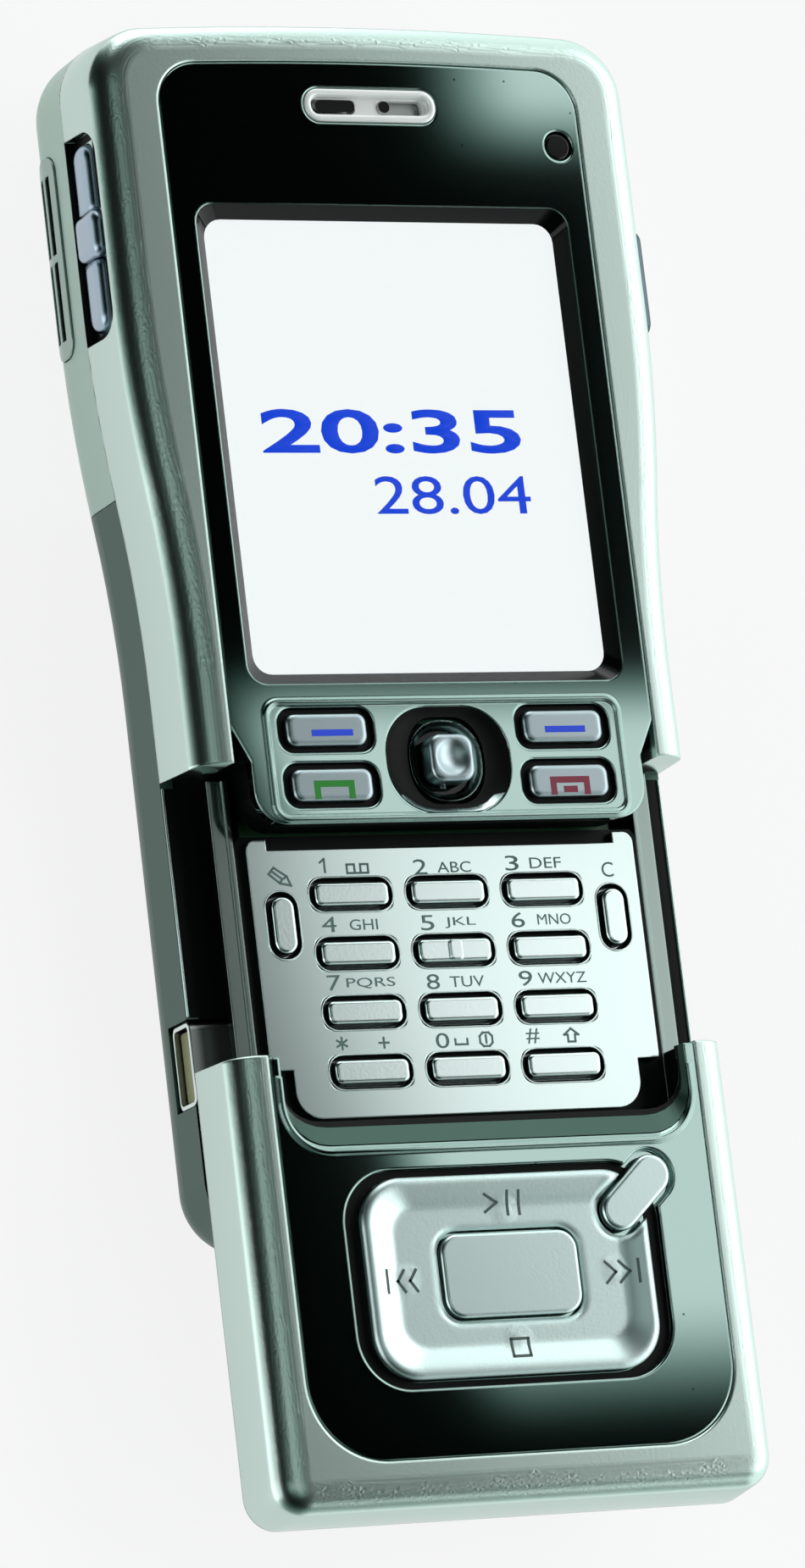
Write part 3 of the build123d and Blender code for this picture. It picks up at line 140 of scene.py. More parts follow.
def ramp(tree, value, start, full, low=0.0, high=1.0, shape="LINEAR"):
    """A value that goes from low to high while another goes from start to full."""
    return add_node(tree, "ShaderNodeMapRange", {
        "Value": value, "From Min": start, "From Max": full, "To Min": low, "To Max": high},
        interpolation_type=shape).outputs["Result"]


def blended(tree, share, first, second):
    """A share of the second colour over the first."""
    return add_node(tree, "ShaderNodeMix", {0: share, 6: first, 7: second}, data_type="RGBA").outputs[2]


# height in mm from which the frames' walls lean back
CROWN_START = 10.0
# pits of the panels: about 0.1 mm wide, drawn twice as wide so that they show, in one cell of eight. The cell is in mm,
# and the radii of the dark core and of the soft edge are shares of a cell
SPECK_CELL = 1.3
SPECK_CORE = 0.07
SPECK_EDGE = 0.11
SPECK_RARITY = 0.87
SPECK_COLOUR = "#101413"


def finish(name, base, roughness, metallic=0.0, grain=None, rounding=0.0, specks=0.0, crown=0.0, **sockets):
    """A surface finish. Grain is (size, depth) of its relief and rounding the radius of its edges, in mm;
    specks is the strength of its pits, and crown how far its upright walls lean back for each mm of height."""
    made = bpy.data.materials.new(name)
    tree = cleared_tree(made)
    shader = add_node(tree, "ShaderNodeBsdfPrincipled", {
        "Base Color": base, "Roughness": roughness, "Metallic": metallic, **sockets})
    place = add_node(tree, "ShaderNodeTexCoord").outputs["Object"]
    normal = None
    if rounding:
        normal = add_node(tree, "ShaderNodeBevel", {"Radius": rounding * MM}, samples=8).outputs["Normal"]
    if crown:
        level = add_node(tree, "ShaderNodeSeparateXYZ", {"Vector": place}).outputs["Z"]
        rise = calculated(tree, "MULTIPLY_ADD", level, 1 / MM, -CROWN_START)
        bend = calculated(tree, "MULTIPLY", rise, rise)
        fall = calculated(tree, "MULTIPLY", bend, -crown / 2)
        normal = add_node(tree, "ShaderNodeBump", {
            "Height": fall, "Strength": 1.0, "Distance": MM, "Normal": normal}).outputs["Normal"]
    if grain:
        size, depth = grain
        noise = add_node(tree, "ShaderNodeTexNoise", {
            "Vector": place, "Scale": 1 / (size * MM), "Detail": 2.0, "Roughness": 0.5})
        bump = add_node(tree, "ShaderNodeBump", {
            "Height": noise.outputs["Fac"], "Strength": 1.0, "Distance": depth * MM})
        if normal:
            tree.links.new(normal, bump.inputs["Normal"])
        normal = bump.outputs["Normal"]
    if normal:
        tree.links.new(normal, shader.inputs["Normal"])
    if specks:
        cells = add_node(tree, "ShaderNodeTexVoronoi", {"Vector": place, "Scale": 1 / (SPECK_CELL * MM)})
        mark = ramp(tree, cells.outputs["Distance"], SPECK_CORE, SPECK_EDGE, specks, 0.0)
        pick = add_node(tree, "ShaderNodeSeparateColor", {"Color": cells.outputs["Color"]})
        chosen = calculated(tree, "GREATER_THAN", pick.outputs["Red"], SPECK_RARITY)
        share = calculated(tree, "MULTIPLY", mark, chosen)
        tree.links.new(blended(tree, share, base, linear(SPECK_COLOUR)), shader.inputs["Base Color"])
    add_node(tree, "ShaderNodeOutputMaterial", {"Surface": shader.outputs["BSDF"]})
    return made


def make_finishes(colours):
    """Every finish by the name of its slot in the record, and the inks."""
    return {
        # steel blasted with fine glass beads: soft broad highlights with a faint grain
        "frame_steel": finish(
            "bead_blasted_steel", colours.steel, 0.22, 1.0, grain=(0.3, 0.002), rounding=0.35, crown=0.085),
        # steel polished under a dark tinted plating: a mirror, black where the room is black
        "panel_black": finish("dark_polished_steel", colours.panel, 0.035, 1.0, rounding=0.3, specks=0.7),
        # lacquered polycarbonate: deep black with hard highlights
        "gloss_black": finish("black_lacquer", colours.gloss, 0.08, 0.0, **{"Specular IOR Level": 0.3}),
        # ABS with a pearl paint: pale and matt with a soft sheen
        "cover_pale": finish("pearl_painted_abs", colours.cover, 0.4, 0.2),
        # anodised aluminium, finely blasted: darker, with a fine grain
        "housing_metal": finish("anodised_aluminium", colours.housing, 0.38, 1.0, grain=(0.4, 0.004)),
        # moulded polycarbonate: deep black with a dull gloss
        "chassis_black": finish("moulded_polycarbonate", colours.chassis, 0.35, 0.0, **{"Specular IOR Level": 0.15}),
        # polished rails: dark where the room is dark, with long streaks of light on their edges
        "rail_black": finish("polished_rail_steel", colours.rail, 0.14, 1.0, rounding=0.2),
        # painted shade: a flat dull black, laid as sheets in grooves, recesses and gaps that lie in shade
        "groove_black": finish("black_oxide", linear("#030404"), 0.5, 0.0, **{"Specular IOR Level": 0.15}),
        # satin chrome on plastic: bright, softly mirrored
        "keypad_silver": finish("satin_chrome_plate", colours.plate, 0.12, 1.0, rounding=0.12),
        "key_silver": finish("satin_chrome_keys", colours.key, 0.16, 1.0, grain=(0.3, 0.0015), rounding=0.2),
        "function_silver": finish("satin_nickel_keys", colours.function_key, 0.28, 1.0, rounding=0.5),
        "side_key_silver": finish("satin_zinc_keys", colours.side_key, 0.2, 1.0, rounding=1.0),
        "camera_key": finish("dark_zinc_keys", linear("#59666E"), 0.25, 1.0, rounding=0.6),
        # satin steel: bright and softly mirrored
        "music_key_metal": finish("satin_steel", colours.music, 0.24, 1.0, grain=(0.3, 0.002), rounding=0.25),
        # the same steel pressed to a shallow dish, whose bends are soft
        "music_pad": finish("pressed_satin_steel", colours.music, 0.28, 1.0, grain=(0.3, 0.005), rounding=1.0),
        # etched steel: duller than the trims, with bright edges
        "loudspeaker_grille": finish("etched_steel", linear("#93A8A0"), 0.25, 1.0, rounding=0.3),
        # painted highlight: nickel with a white base colour, which keeps the earpiece grille and its rim bright from
        # every side
        "earpiece_grille": finish("white_nickel", linear("#FFFFFF"), 0.22, 0.25, rounding=0.15),
        # bright chrome: hard reflections
        "chrome_trim": finish("polished_chrome", colours.chrome, 0.1, 1.0, rounding=0.15),
        "window_clear": finish("clear_acrylic", colours.window, 0.02, 0.0, IOR=1.49, **{"Transmission Weight": 1.0}),
        "display_white": finish("lit_display", linear("#202020"), 0.6, 0.0, **{
            "Emission Color": colours.display, "Emission Strength": 1.06}),
        "board_green": finish("solder_masked_board", linear("#1E5B3A"), 0.4),
        "socket_cream": finish("moulded_nylon", linear("#A3A27E"), 0.4),
        "plain_steel": finish("rolled_steel", linear("#9BA09D"), 0.3, 1.0),
        "drive_aluminium": finish("cast_aluminium", linear("#A8ADAB"), 0.45, 1.0),
        "battery_wrap": finish("heat_shrink_wrap", linear("#3A4048"), 0.45),
        "antenna_brass": finish("drawn_brass", linear("#B08D57"), 0.3, 1.0),
        "keymat_rubber": finish("silicone_rubber", linear("#8E8E8A"), 0.7),
        # printed and filled inks: flat and matt
        "legend": finish("legend_ink", colours.legend, 0.55),
        "blue": finish("blue_ink", colours.blue, 0.45),
        "green": finish("green_ink", colours.green, 0.45),
        "red": finish("red_ink", colours.red, 0.45),
        "engraving": finish("engraving_paint", colours.engraving, 0.5),
        "digits": finish("display_digits", linear("#000000"), 0.6, **{
            "Emission Color": colours.digits, "Emission Strength": 1.0}),
    }


def slot_of(node):
    """The record's material slot of a CAD node."""
    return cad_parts[node].material_slots[0].material.name


# ---------------------------------------------------------------- modelling

# sharper bends than this stay sharp
SMOOTH_ANGLE = math.radians(50)
# height in mm between flat bars that cross, so that no two lie in one plane
LAYER = 0.0005


def clear_selection():
    """Leaves nothing selected, in object mode."""
    if bpy.context.object and bpy.context.object.mode != "OBJECT":
        bpy.ops.object.mode_set(mode="OBJECT")
    bpy.ops.object.select_all(action="DESELECT")


def select_only(*objects):
    """Selects these objects, the first one active."""
    clear_selection()
    for each in objects:
        each.select_set(True)
    bpy.context.view_layer.objects.active = objects[0]


def settle(piece):
    """Puts the piece's place, turn and scale into its mesh, with its object at the origin."""
    select_only(piece)
    bpy.ops.object.transform_apply(location=True, rotation=True, scale=True)


def joined(name, parts):
    """Several meshes as one piece."""
    select_only(*parts)
    if len(parts) > 1:
        bpy.ops.object.join()
    piece = bpy.context.object
    piece.name = name
    piece.data.name = name
    return piece


def coat(piece, material):
    """Gives the piece its only material."""
    piece.data.materials.clear()
    piece.data.materials.append(material)


def strokes(name, lines, centre, width):
    """Flat bars of this width along lines that are given from a centre, all in millimetres."""
    x, y, z = centre
    bars = []
    for line in lines:
        for (across, up), (far_across, far_up) in zip(line, line[1:]):
            bars.append(bar(
                (x + (across + far_across) / 2, y + (up + far_up) / 2, z + LAYER * len(bars)),
                (math.hypot(far_across - across, far_up - up) + width, width),
                math.degrees(math.atan2(far_up - up, far_across - across))))
    return joined(name, bars)


def written(text, centre, size, weight=0.0):
    """Plain lettering that fills a box of this size about a centre, in millimetres; weight fattens its strokes."""
    clear_selection()
    bpy.ops.object.text_add(location=(0, 0, 0))
    piece = bpy.context.object
    piece.data.body = text
    piece.data.offset = weight
    piece.data.resolution_u = 4
    bpy.ops.object.convert(target="MESH")
    piece = bpy.context.object
    corners = [Vector(corner) for corner in piece.bound_box]
    low, high = corners[0], corners[6]
    piece.scale = (size[0] * MM / (high.x - low.x), size[1] * MM / (high.y - low.y), 1.0)
    piece.location = [part * MM - half * scale for part, half, scale in
                      zip(centre, (low + high) / 2, piece.scale)]
    settle(piece)
    return piece


def modify(piece, kind, **settings):
    """Applies a modifier with these settings to the piece."""
    select_only(piece)
    bpy.ops.object.modifier_add(type=kind)
    modifier = piece.modifiers[-1]
    for name, value in settings.items():
        setattr(modifier, name, value)
    bpy.ops.object.modifier_apply(modifier=modifier.name)


def thicken(piece, thickness, offset=1.0):
    """Gives a flat piece a thickness, raised from where it was, or about it when the offset is 0."""
    modify(piece, "SOLIDIFY", thickness=thickness, offset=offset)


def bar(centre, size, turn=0.0):
    """A flat bar: centre and size in millimetres, turn in degrees."""
    clear_selection()
    bpy.ops.mesh.primitive_plane_add(
        size=1.0, location=[part * MM for part in centre], rotation=(0, 0, math.radians(turn)))
    piece = bpy.context.object
    piece.scale = (size[0] * MM, size[1] * MM, 1.0)
    settle(piece)
    return piece


def tile(centre, size, radius, steps=6):
    """A flat tile with rounded corners."""
    piece = bar(centre, size)
    bpy.ops.object.mode_set(mode="EDIT")
    bpy.ops.mesh.select_all(action="SELECT")
    bpy.ops.mesh.bevel(offset=radius * MM, segments=steps, affect="VERTICES")
    bpy.ops.object.mode_set(mode="OBJECT")
    return piece


def ring(centre, size, radius, line, steps=6):
    """A flat ring with rounded corners: size and radius are those of its outside, line its width."""
    piece = tile(centre, size, radius, steps)
    bpy.ops.object.mode_set(mode="EDIT")
    bpy.ops.mesh.select_all(action="SELECT")
    bpy.ops.mesh.inset(thickness=line, depth=0)
    bpy.ops.mesh.delete(type="FACE")
    bpy.ops.object.mode_set(mode="OBJECT")
    return piece


def stepped(name, centre, outlines, end=None):
    """A thin lining through rounded outlines, each (width, length, corner, height), from the outside in, and open
    inside. Where an end is given, nothing is left beyond that y."""
    x, y = centre
    wide, long, corner, level = outlines[0]
    piece = tile((x, y, level), (wide, long), corner)
    piece.name = name
    bpy.ops.object.mode_set(mode="EDIT")
    bpy.ops.mesh.select_all(action="SELECT")
    bpy.ops.mesh.delete(type="ONLY_FACE")
    bpy.ops.mesh.select_all(action="SELECT")
    for next_wide, next_long, _, next_level in outlines[1:]:
        bpy.ops.mesh.extrude_region_move(TRANSFORM_OT_translate={"value": (0, 0, (next_level - level) * MM)})
        bpy.ops.transform.resize(value=(next_wide / wide, next_long / long, 1.0),
                                 center_override=(x * MM, y * MM, next_level * MM))
        wide, long, level = next_wide, next_long, next_level
    bpy.ops.mesh.select_all(action="SELECT")
    bpy.ops.mesh.normals_make_consistent(inside=False)
    if end is not None:
        bpy.ops.mesh.bisect(plane_co=(0, end * MM, 0), plane_no=(0, 1, 0), clear_outer=True)
    bpy.ops.object.mode_set(mode="OBJECT")
    thicken(piece, bpy.context.scene.phone_sizes.lining, 0.0)
    bpy.ops.object.shade_smooth_by_angle(angle=SMOOTH_ANGLE)
    return piece


def soften(piece, width):
    """Rounds the sharp edges of a piece, width in millimetres."""
    modify(piece, "BEVEL", width=width * MM, segments=3, limit_method="ANGLE")
    bpy.ops.object.shade_smooth_by_angle(angle=SMOOTH_ANGLE)


def lay_on(piece, node, clearance=0.005):
    """Lets a flat piece down on a CAD node, following its surface."""
    select_only(piece)
    bpy.ops.object.mode_set(mode="EDIT")
    bpy.ops.mesh.select_all(action="SELECT")
    bpy.ops.mesh.quads_convert_to_tris()
    bpy.ops.mesh.subdivide(number_cuts=4)
    bpy.ops.object.mode_set(mode="OBJECT")
    modify(piece, "SHRINKWRAP", wrap_method="PROJECT", use_project_z=True, use_negative_direction=True,
           use_positive_direction=False, target=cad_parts[node], offset=clearance * MM)


def middle(node):
    """The middle of a CAD node's box and its size, in millimetres."""
    low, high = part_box(node)
    return [(a + b) / 2 / MM for a, b in zip(low, high)], [(b - a) / MM for a, b in zip(low, high)]


def top(node):
    """The height of a CAD node's highest point, in millimetres."""
    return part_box(node)[1][2] / MM


# ---------------------------------------------------------------- pieces

FUNCTION_KEYS = ("softkey_left", "softkey_right", "send_key", "end_key")
NUMBER_KEYS = [f"key_{each}" for each in (*range(10), "star", "hash")]
TALL_KEYS = ("edit_key", "clear_key")


class PHONE_OT_finishes(bpy.types.Operator):
    """Give every CAD node the finish of its slot"""

    bl_idname = "phone.finishes"
    bl_label = "Finishes"

    def execute(self, context):
        finishes = make_finishes(context.scene.phone_colours)
        for name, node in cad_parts.items():
            slot = slot_of(name)
            wanted = finishes.get(name) or finishes.get(slot)
            if wanted is None:
                raise RuntimeError(f"no finish for node {name} with slot {slot}")
            for place in node.material_slots:
                place.material = wanted
        return {"FINISHED"}


# each text with its middle and its width, in mm
DIGITS = (
    ("2", -2.40, -9.13, 1.35), ("3", 6.89, -8.98, 1.35),
    ("4", -12.16, -14.22, 1.45), ("5", -2.34, -14.31, 1.35), ("6", 6.83, -14.27, 1.35),
    ("7", -12.33, -19.58, 1.35), ("8", -2.46, -19.75, 1.3), ("9", 6.88, -19.70, 1.35),
    ("0", -2.23, -25.18, 1.35), ("#", 6.90, -25.04, 1.35),
    ("C", 16.58, -9.79, 1.2),
)
LETTERS = (
    ("ABC", 1.01, -9.21, 3.4), ("DEF", 10.30, -9.02, 3.2), ("GHI", -8.71, -14.31, 2.8), ("JKL", 0.98, -14.36, 3.1),
    ("MNO", 10.50, -14.28, 3.4), ("PQRS", -8.68, -19.69, 4.85), ("TUV", 0.95, -19.81, 3.45),
    ("WXYZ", 10.59, -19.73, 4.9),
)
# the lines of each small sign, in mm from its middle
ONE_SIGN = (((-0.3, 0.3), (0.12, 0.6), (0.12, -0.6)),)
STAR_SIGN = (((0, -0.52), (0, 0.52)), ((-0.46, -0.27), (0.46, 0.27)), ((-0.46, 0.27), (0.46, -0.27)))
PLUS_SIGN = (((-0.45, 0), (0.45, 0)), ((0, -0.45), (0, 0.45)))
TAPE_SIGN = (((-1.05, -0.4), (-1.05, 0.4), (-0.3, 0.4), (-0.3, -0.4)),
             ((1.05, -0.4), (1.05, 0.4), (0.3, 0.4), (0.3, -0.4)), ((-1.05, -0.4), (1.05, -0.4)))
SPACE_SIGN = (((-0.6, 0.25), (-0.6, -0.22), (0.6, -0.22), (0.6, 0.25)),)
INFO_SIGN = (((-0.62, -0.3), (-0.62, 0.3), (-0.3, 0.62), (0.3, 0.62), (0.62, 0.3), (0.62, -0.3), (0.3, -0.62),
              (-0.3, -0.62), (-0.62, -0.3)), ((0, -0.3), (0, 0.12)), ((0, 0.3), (0, 0.36)))
SHIFT_SIGN = (((-0.72, 0.05), (0, 0.62), (0.72, 0.05), (0.36, 0.05), (0.36, -0.6), (-0.36, -0.6), (-0.36, 0.05),
               (-0.72, 0.05)),)
PENCIL_SIGN = (((-1.05, 0.25), (-0.5, 0.82), (0.72, 0.0), (1.05, -0.85), (-0.04, -0.6), (-1.05, 0.25)),
               ((0.72, 0.0), (0.26, -0.25), (-0.04, -0.6)), ((-0.78, 0.55), (0.26, -0.25)))
# each small sign and where its middle is
SIGNS = ((ONE_SIGN, -12.06, -8.80), (STAR_SIGN, -12.24, -25.13), (PLUS_SIGN, -8.08, -25.19),
         (TAPE_SIGN, -8.69, -9.15), (SPACE_SIGN, -0.34, -25.36), (INFO_SIGN, 2.16, -25.2),
         (SHIFT_SIGN, 10.81, -25.08), (PENCIL_SIGN, -16.51, -9.72))
DIGIT_HEIGHT = 1.4
LETTER_HEIGHT = 1.0


class PHONE_OT_legends(bpy.types.Operator):
    """Print the numbers, letters and signs on the keypad plate"""

    bl_idname = "phone.legends"
    bl_label = "Keypad legends"

    def execute(self, context):
        sizes = context.scene.phone_sizes
        level = top("keypad_plate")
        parts = [written(text, (x, y, level), (wide, DIGIT_HEIGHT)) for text, x, y, wide in DIGITS]
        parts += [written(text, (x, y, level), (wide, LETTER_HEIGHT)) for text, x, y, wide in LETTERS]
        parts += [strokes("sign", lines, (x, y, level), sizes.sign_line / MM) for lines, x, y in SIGNS]
        piece = joined("keypad_legends", parts)
        thicken(piece, sizes.ink)
        coat(piece, bpy.data.materials["legend_ink"])
        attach(piece, "body")
        return {"FINISHED"}


# each key with a sign, the sign's lines, its middle and its ink
DASH = (((-1.75, 0), (1.75, 0)),)
HANDSET = (((-1.7, -0.62), (-1.7, 0.5), (1.7, 0.5), (1.7, -0.62)),)
KEY_SIGNS = (
    ("softkey_left", DASH, -11.46, 2.56, "blue_ink"), ("softkey_right", DASH, 12.0, 2.57, "blue_ink"),
    ("send_key", HANDSET, -11.87, -2.63, "green_ink"), ("end_key", HANDSET, 11.85, -2.66, "red_ink"),
    ("end_key", (((-0.4, 0), (0.4, 0)),), 11.85, -3.05, "red_ink"),
)


class PHONE_OT_key_signs(bpy.types.Operator):
    """Print the dashes and the handset signs on the four function keys"""

    bl_idname = "phone.key_signs"
    bl_label = "Function key signs"

    def execute(self, context):
        sizes = context.scene.phone_sizes
        for node in FUNCTION_KEYS:
            signs = [(strokes("sign", lines, (x, y, top(node)), sizes.key_sign_line / MM), ink)
                     for carrier, lines, x, y, ink in KEY_SIGNS if carrier == node]
            piece = joined(node + "_sign", [sign for sign, _ in signs])
            thicken(piece, sizes.ink)
            coat(piece, bpy.data.materials[signs[0][1]])
            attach(piece, node)
        return {"FINISHED"}


# the signs of the music pad: their lines, then where their middles are
PLAY_SIGN = (((-1.9, 0.85), (-0.7, 0.1), (-1.9, -0.7)), ((0.35, 1.05), (0.35, -1.0)), ((1.5, 1.05), (1.5, -1.0)))
BACK_SIGN = (((-1.45, 1.0), (-1.45, -1.0)), ((0.3, 0.95), (-0.35, 0), (0.3, -0.95)),
             ((1.5, 0.95), (0.85, 0), (1.5, -0.95)))
FORWARD_SIGN = (((-1.6, 0.95), (-0.6, 0), (-1.6, -0.95)), ((-0.2, 0.95), (0.8, 0), (-0.2, -0.95)),
                ((1.6, 1.0), (1.6, -1.0)))
STOP_SIGN = (((-0.85, 0.8), (0.85, 0.8), (0.85, -0.8), (-0.85, -0.8), (-0.85, 0.8)),)
MUSIC_SIGNS = ((PLAY_SIGN, 0.09, -40.85), (BACK_SIGN, -10.86, -47.42), (FORWARD_SIGN, 11.12, -47.52),
               (STOP_SIGN, 0.09, -53.89))


class PHONE_OT_music_signs(bpy.types.Operator):
    """Engrave the play, stop, back and forward signs in the music pad"""

    bl_idname = "phone.music_signs"
    bl_label = "Music signs"

    def execute(self, context):
        sizes = context.scene.phone_sizes
        level = top("music_pad") + 1
        piece = joined("music_signs", [
            strokes("sign", lines, (x, y, level), sizes.music_line / MM) for lines, x, y in MUSIC_SIGNS])
        lay_on(piece, "music_pad")
        thicken(piece, sizes.ink)
        coat(piece, bpy.data.materials["engraving_paint"])
        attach(piece, "music_pad")
        return {"FINISHED"}


# what the display shows: text, middle, size and weight
DISPLAY_TEXTS = (("20:35", (-0.9, 31.24), (26.3, 4.2), 0.02), ("28.04", (4.6, 25.2), (15.8, 3.6), 0.0))


class PHONE_OT_display_picture(bpy.types.Operator):
    """Show plain clock digits on the display"""

    bl_idname = "phone.display_picture"
    bl_label = "Display picture"

    def execute(self, context):
        sizes = context.scene.phone_sizes
        level = top("display_module")
        piece = joined("display_picture", [
            written(text, (x, y, level), size, weight) for text, (x, y), size, weight in DISPLAY_TEXTS])
        thicken(piece, sizes.ink)
        coat(piece, bpy.data.materials["display_digits"])
        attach(piece, "body")
        return {"FINISHED"}


# keys with the width, length and corner of the openings that they stand in, in mm
KEY_OPENINGS = ((NUMBER_KEYS, (8.3, 3.1), 1.4), (TALL_KEYS, (3.2, 6.2), 1.5))


class PHONE_OT_key_trims(bpy.types.Operator):
    """Lay the bright trims round the openings of the keypad plate"""

    bl_idname = "phone.key_trims"
    bl_label = "Key trims"

    def execute(self, context):
        sizes = context.scene.phone_sizes
        line = sizes.trim_line / MM
        level = top("keypad_plate")
        rings = []
        for nodes, opening, corner in KEY_OPENINGS:
            for node in nodes:
                (x, y, _), _ = middle(node)
                rings.append(ring((x, y, level), [side + 2 * line for side in opening], corner + line,
                                  sizes.trim_line))
        piece = joined("keypad_trims", rings)
        thicken(piece, sizes.trim_height)
        coat(piece, bpy.data.materials["polished_chrome"])
        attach(piece, "body")
        return {"FINISHED"}


# the upper and the lower outline of the window's lining, in mm: how much narrower than the window it is, its corner and
# its height, which for the lower one is counted from the window
WINDOW_RIM = (1.0, 1.9, 17.31)
WINDOW_FOOT = (3.3, 0.8, 0.02)


class PHONE_OT_window_lining(bpy.types.Operator):
    """Line the slanting sides of the display window with black lacquer, painted shade that keeps them dark where they
    would mirror the bright room
    """

    bl_idname = "phone.window_lining"
    bl_label = "Window lining"

    def execute(self, context):
        (x, y, _), (wide, long, _) = middle("display_window")
        less, corner, high = WINDOW_RIM
        foot_less, foot_corner, foot_rise = WINDOW_FOOT
        piece = stepped("window_lining", (x, y), (
            (wide - less, long - less, corner, high),
            (wide - foot_less, long - foot_less, foot_corner, top("display_window") + foot_rise)))
        coat(piece, bpy.data.materials["black_lacquer"])
        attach(piece, "body")
        return {"FINISHED"}


# keys with the outlines of the grooves round them: width, length, corner and height, in mm
KEY_GROOVES = (
    (FUNCTION_KEYS, ((9.6, 4.2, 1.5, 17.29), (9.4, 4.0, 1.4, 16.83), (8.15, 3.15, 0.95, 16.83))),
    (NUMBER_KEYS, ((8.28, 3.08, 1.4, 13.79), (8.2, 3.0, 1.36, 13.1))),
    (TALL_KEYS, ((3.18, 6.18, 1.49, 13.79), (3.1, 6.1, 1.45, 13.1))),
)


class PHONE_OT_key_grooves(bpy.types.Operator):
    """Line the grooves round the function keys and the number keys in black, painted shade where the grooves lie in
    shade
    """

    bl_idname = "phone.key_grooves"
    bl_label = "Key grooves"

    def execute(self, context):
        rings = []
        for nodes, outlines in KEY_GROOVES:
            for node in nodes:
                (x, y, _), _ = middle(node)
                rings.append(stepped("groove", (x, y), outlines))
        piece = joined("key_grooves", rings)
        coat(piece, bpy.data.materials["black_oxide"])
        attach(piece, "body")
        return {"FINISHED"}


# name, material, slot, body, end and outlines (width, length, corner and height, in mm) of the joystick's linings
# the dish is lined black all over as painted shade, and the brighter steel on its lower edge only is a painted
# highlight
JOYSTICK_LININGS = (
    ("joystick_crescent", "satin_steel", "panel_black", "body", -3.2,
     ((12.38, 9.78, 4.39, 17.33), (11.9, 9.5, 4.2, 17.22), (11.0, 8.95, 4.0, 16.88))),
    ("joystick_floor", "black_oxide", "gloss_black", "body", None,
     ((12.38, 9.78, 4.39, 17.31), (11.9, 9.5, 4.2, 17.19), (11.0, 8.95, 4.0, 16.85),
      (7.7, 8.1, 2.6, 16.83), (7.6, 8.0, 2.6, 16.2))),
    ("joystick_bowl", "dark_polished_steel", "panel_black", "joystick_ring", None,
     ((7.2, 7.5, 3.3, 16.8), (6.9, 7.2, 3.1, 16.5), (6.3, 6.6, 2.9, 16.12), (5.6, 5.9, 2.6, 15.86))),
)


class PHONE_OT_joystick_well(bpy.types.Operator):
    """Shape the dished well round the joystick: a dish lined black as painted shade, with brighter steel on its lower
    edge only as a painted highlight, and a bowl on its ring
    """

    bl_idname = "phone.joystick_well"
    bl_label = "Joystick well"

    def execute(self, context):
        for name, material, slot, body, end, outlines in JOYSTICK_LININGS:
            piece = stepped(name, (0, 0), outlines, end)
            coat(piece, bpy.data.materials[material])
            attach(piece, body)
        return {"FINISHED"}


# the groove's outer and inner outline, in mm: how much wider and longer than the pad, and the corner
PAD_GROOVE = ((2.9, 1.5, 4.9), (0.3, 0.3, 4.3))
PAD_GROOVE_HEIGHT = 16.63


class PHONE_OT_pad_groove(bpy.types.Operator):
    """Line the floor of the groove round the music pad in black, painted shade where the groove lies in shade"""

    bl_idname = "phone.pad_groove"
    bl_label = "Music pad groove"

    def execute(self, context):
        (x, y, _), (wide, long, _) = middle("music_pad")
        piece = stepped("pad_groove", (x, y), [
            (wide + wider, long + longer, corner, PAD_GROOVE_HEIGHT) for wider, longer, corner in PAD_GROOVE])
        coat(piece, bpy.data.materials["black_oxide"])
        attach(piece, "slider")
        return {"FINISHED"}


# the scooped edge, in mm: its middle, the y where it ends, its outline at its foot (width, length, corner and height)
# and how much each of them grows up to its top
SCOOP_MIDDLE = (0, -26.175)
SCOOP_END = -26.87
SCOOP_FOOT = (40.0, 12.85, 3.4, 16.2)
SCOOP_GROWTH = (0.55, 5.5, 0.9, 1.2)


class PHONE_OT_scoop_shade(bpy.types.Operator):
    """Paint shade on the scooped edge of the slider above the music pad: a black sheet below and a darker metal band
    above
    """

    bl_idname = "phone.scoop_shade"
    bl_label = "Scooped edge"

    def execute(self, context):
        # painted shade: a black sheet on the lower share of the slope and a darker metal band on the middle share
        for name, material, slot, shares in (
                ("scoop_black", "black_oxide", "gloss_black", (0.22, 0.0)),
                ("scoop_smoke", "anodised_aluminium", "panel_black", (0.85, 0.22))):
            piece = stepped(name, SCOOP_MIDDLE, [
                [foot + growth * share for foot, growth in zip(SCOOP_FOOT, SCOOP_GROWTH)]
                for share in shares], SCOOP_END)
            coat(piece, bpy.data.materials[material])
            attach(piece, "slider")
        return {"FINISHED"}


# the earpiece, in mm: its rim's line, height and rounding, how much less than half its length the rim's corner is, and
# its slots' places and lengths across, their height along, corner and depth
EARPIECE_RIM = (0.62, 0.26, 0.12)
EARPIECE_EASE = 0.1
EARPIECE_SLOTS = ((-3.45, 4.0), (1.55, 1.1))
EARPIECE_SLOT = (1.1, 0.5, 0.14)


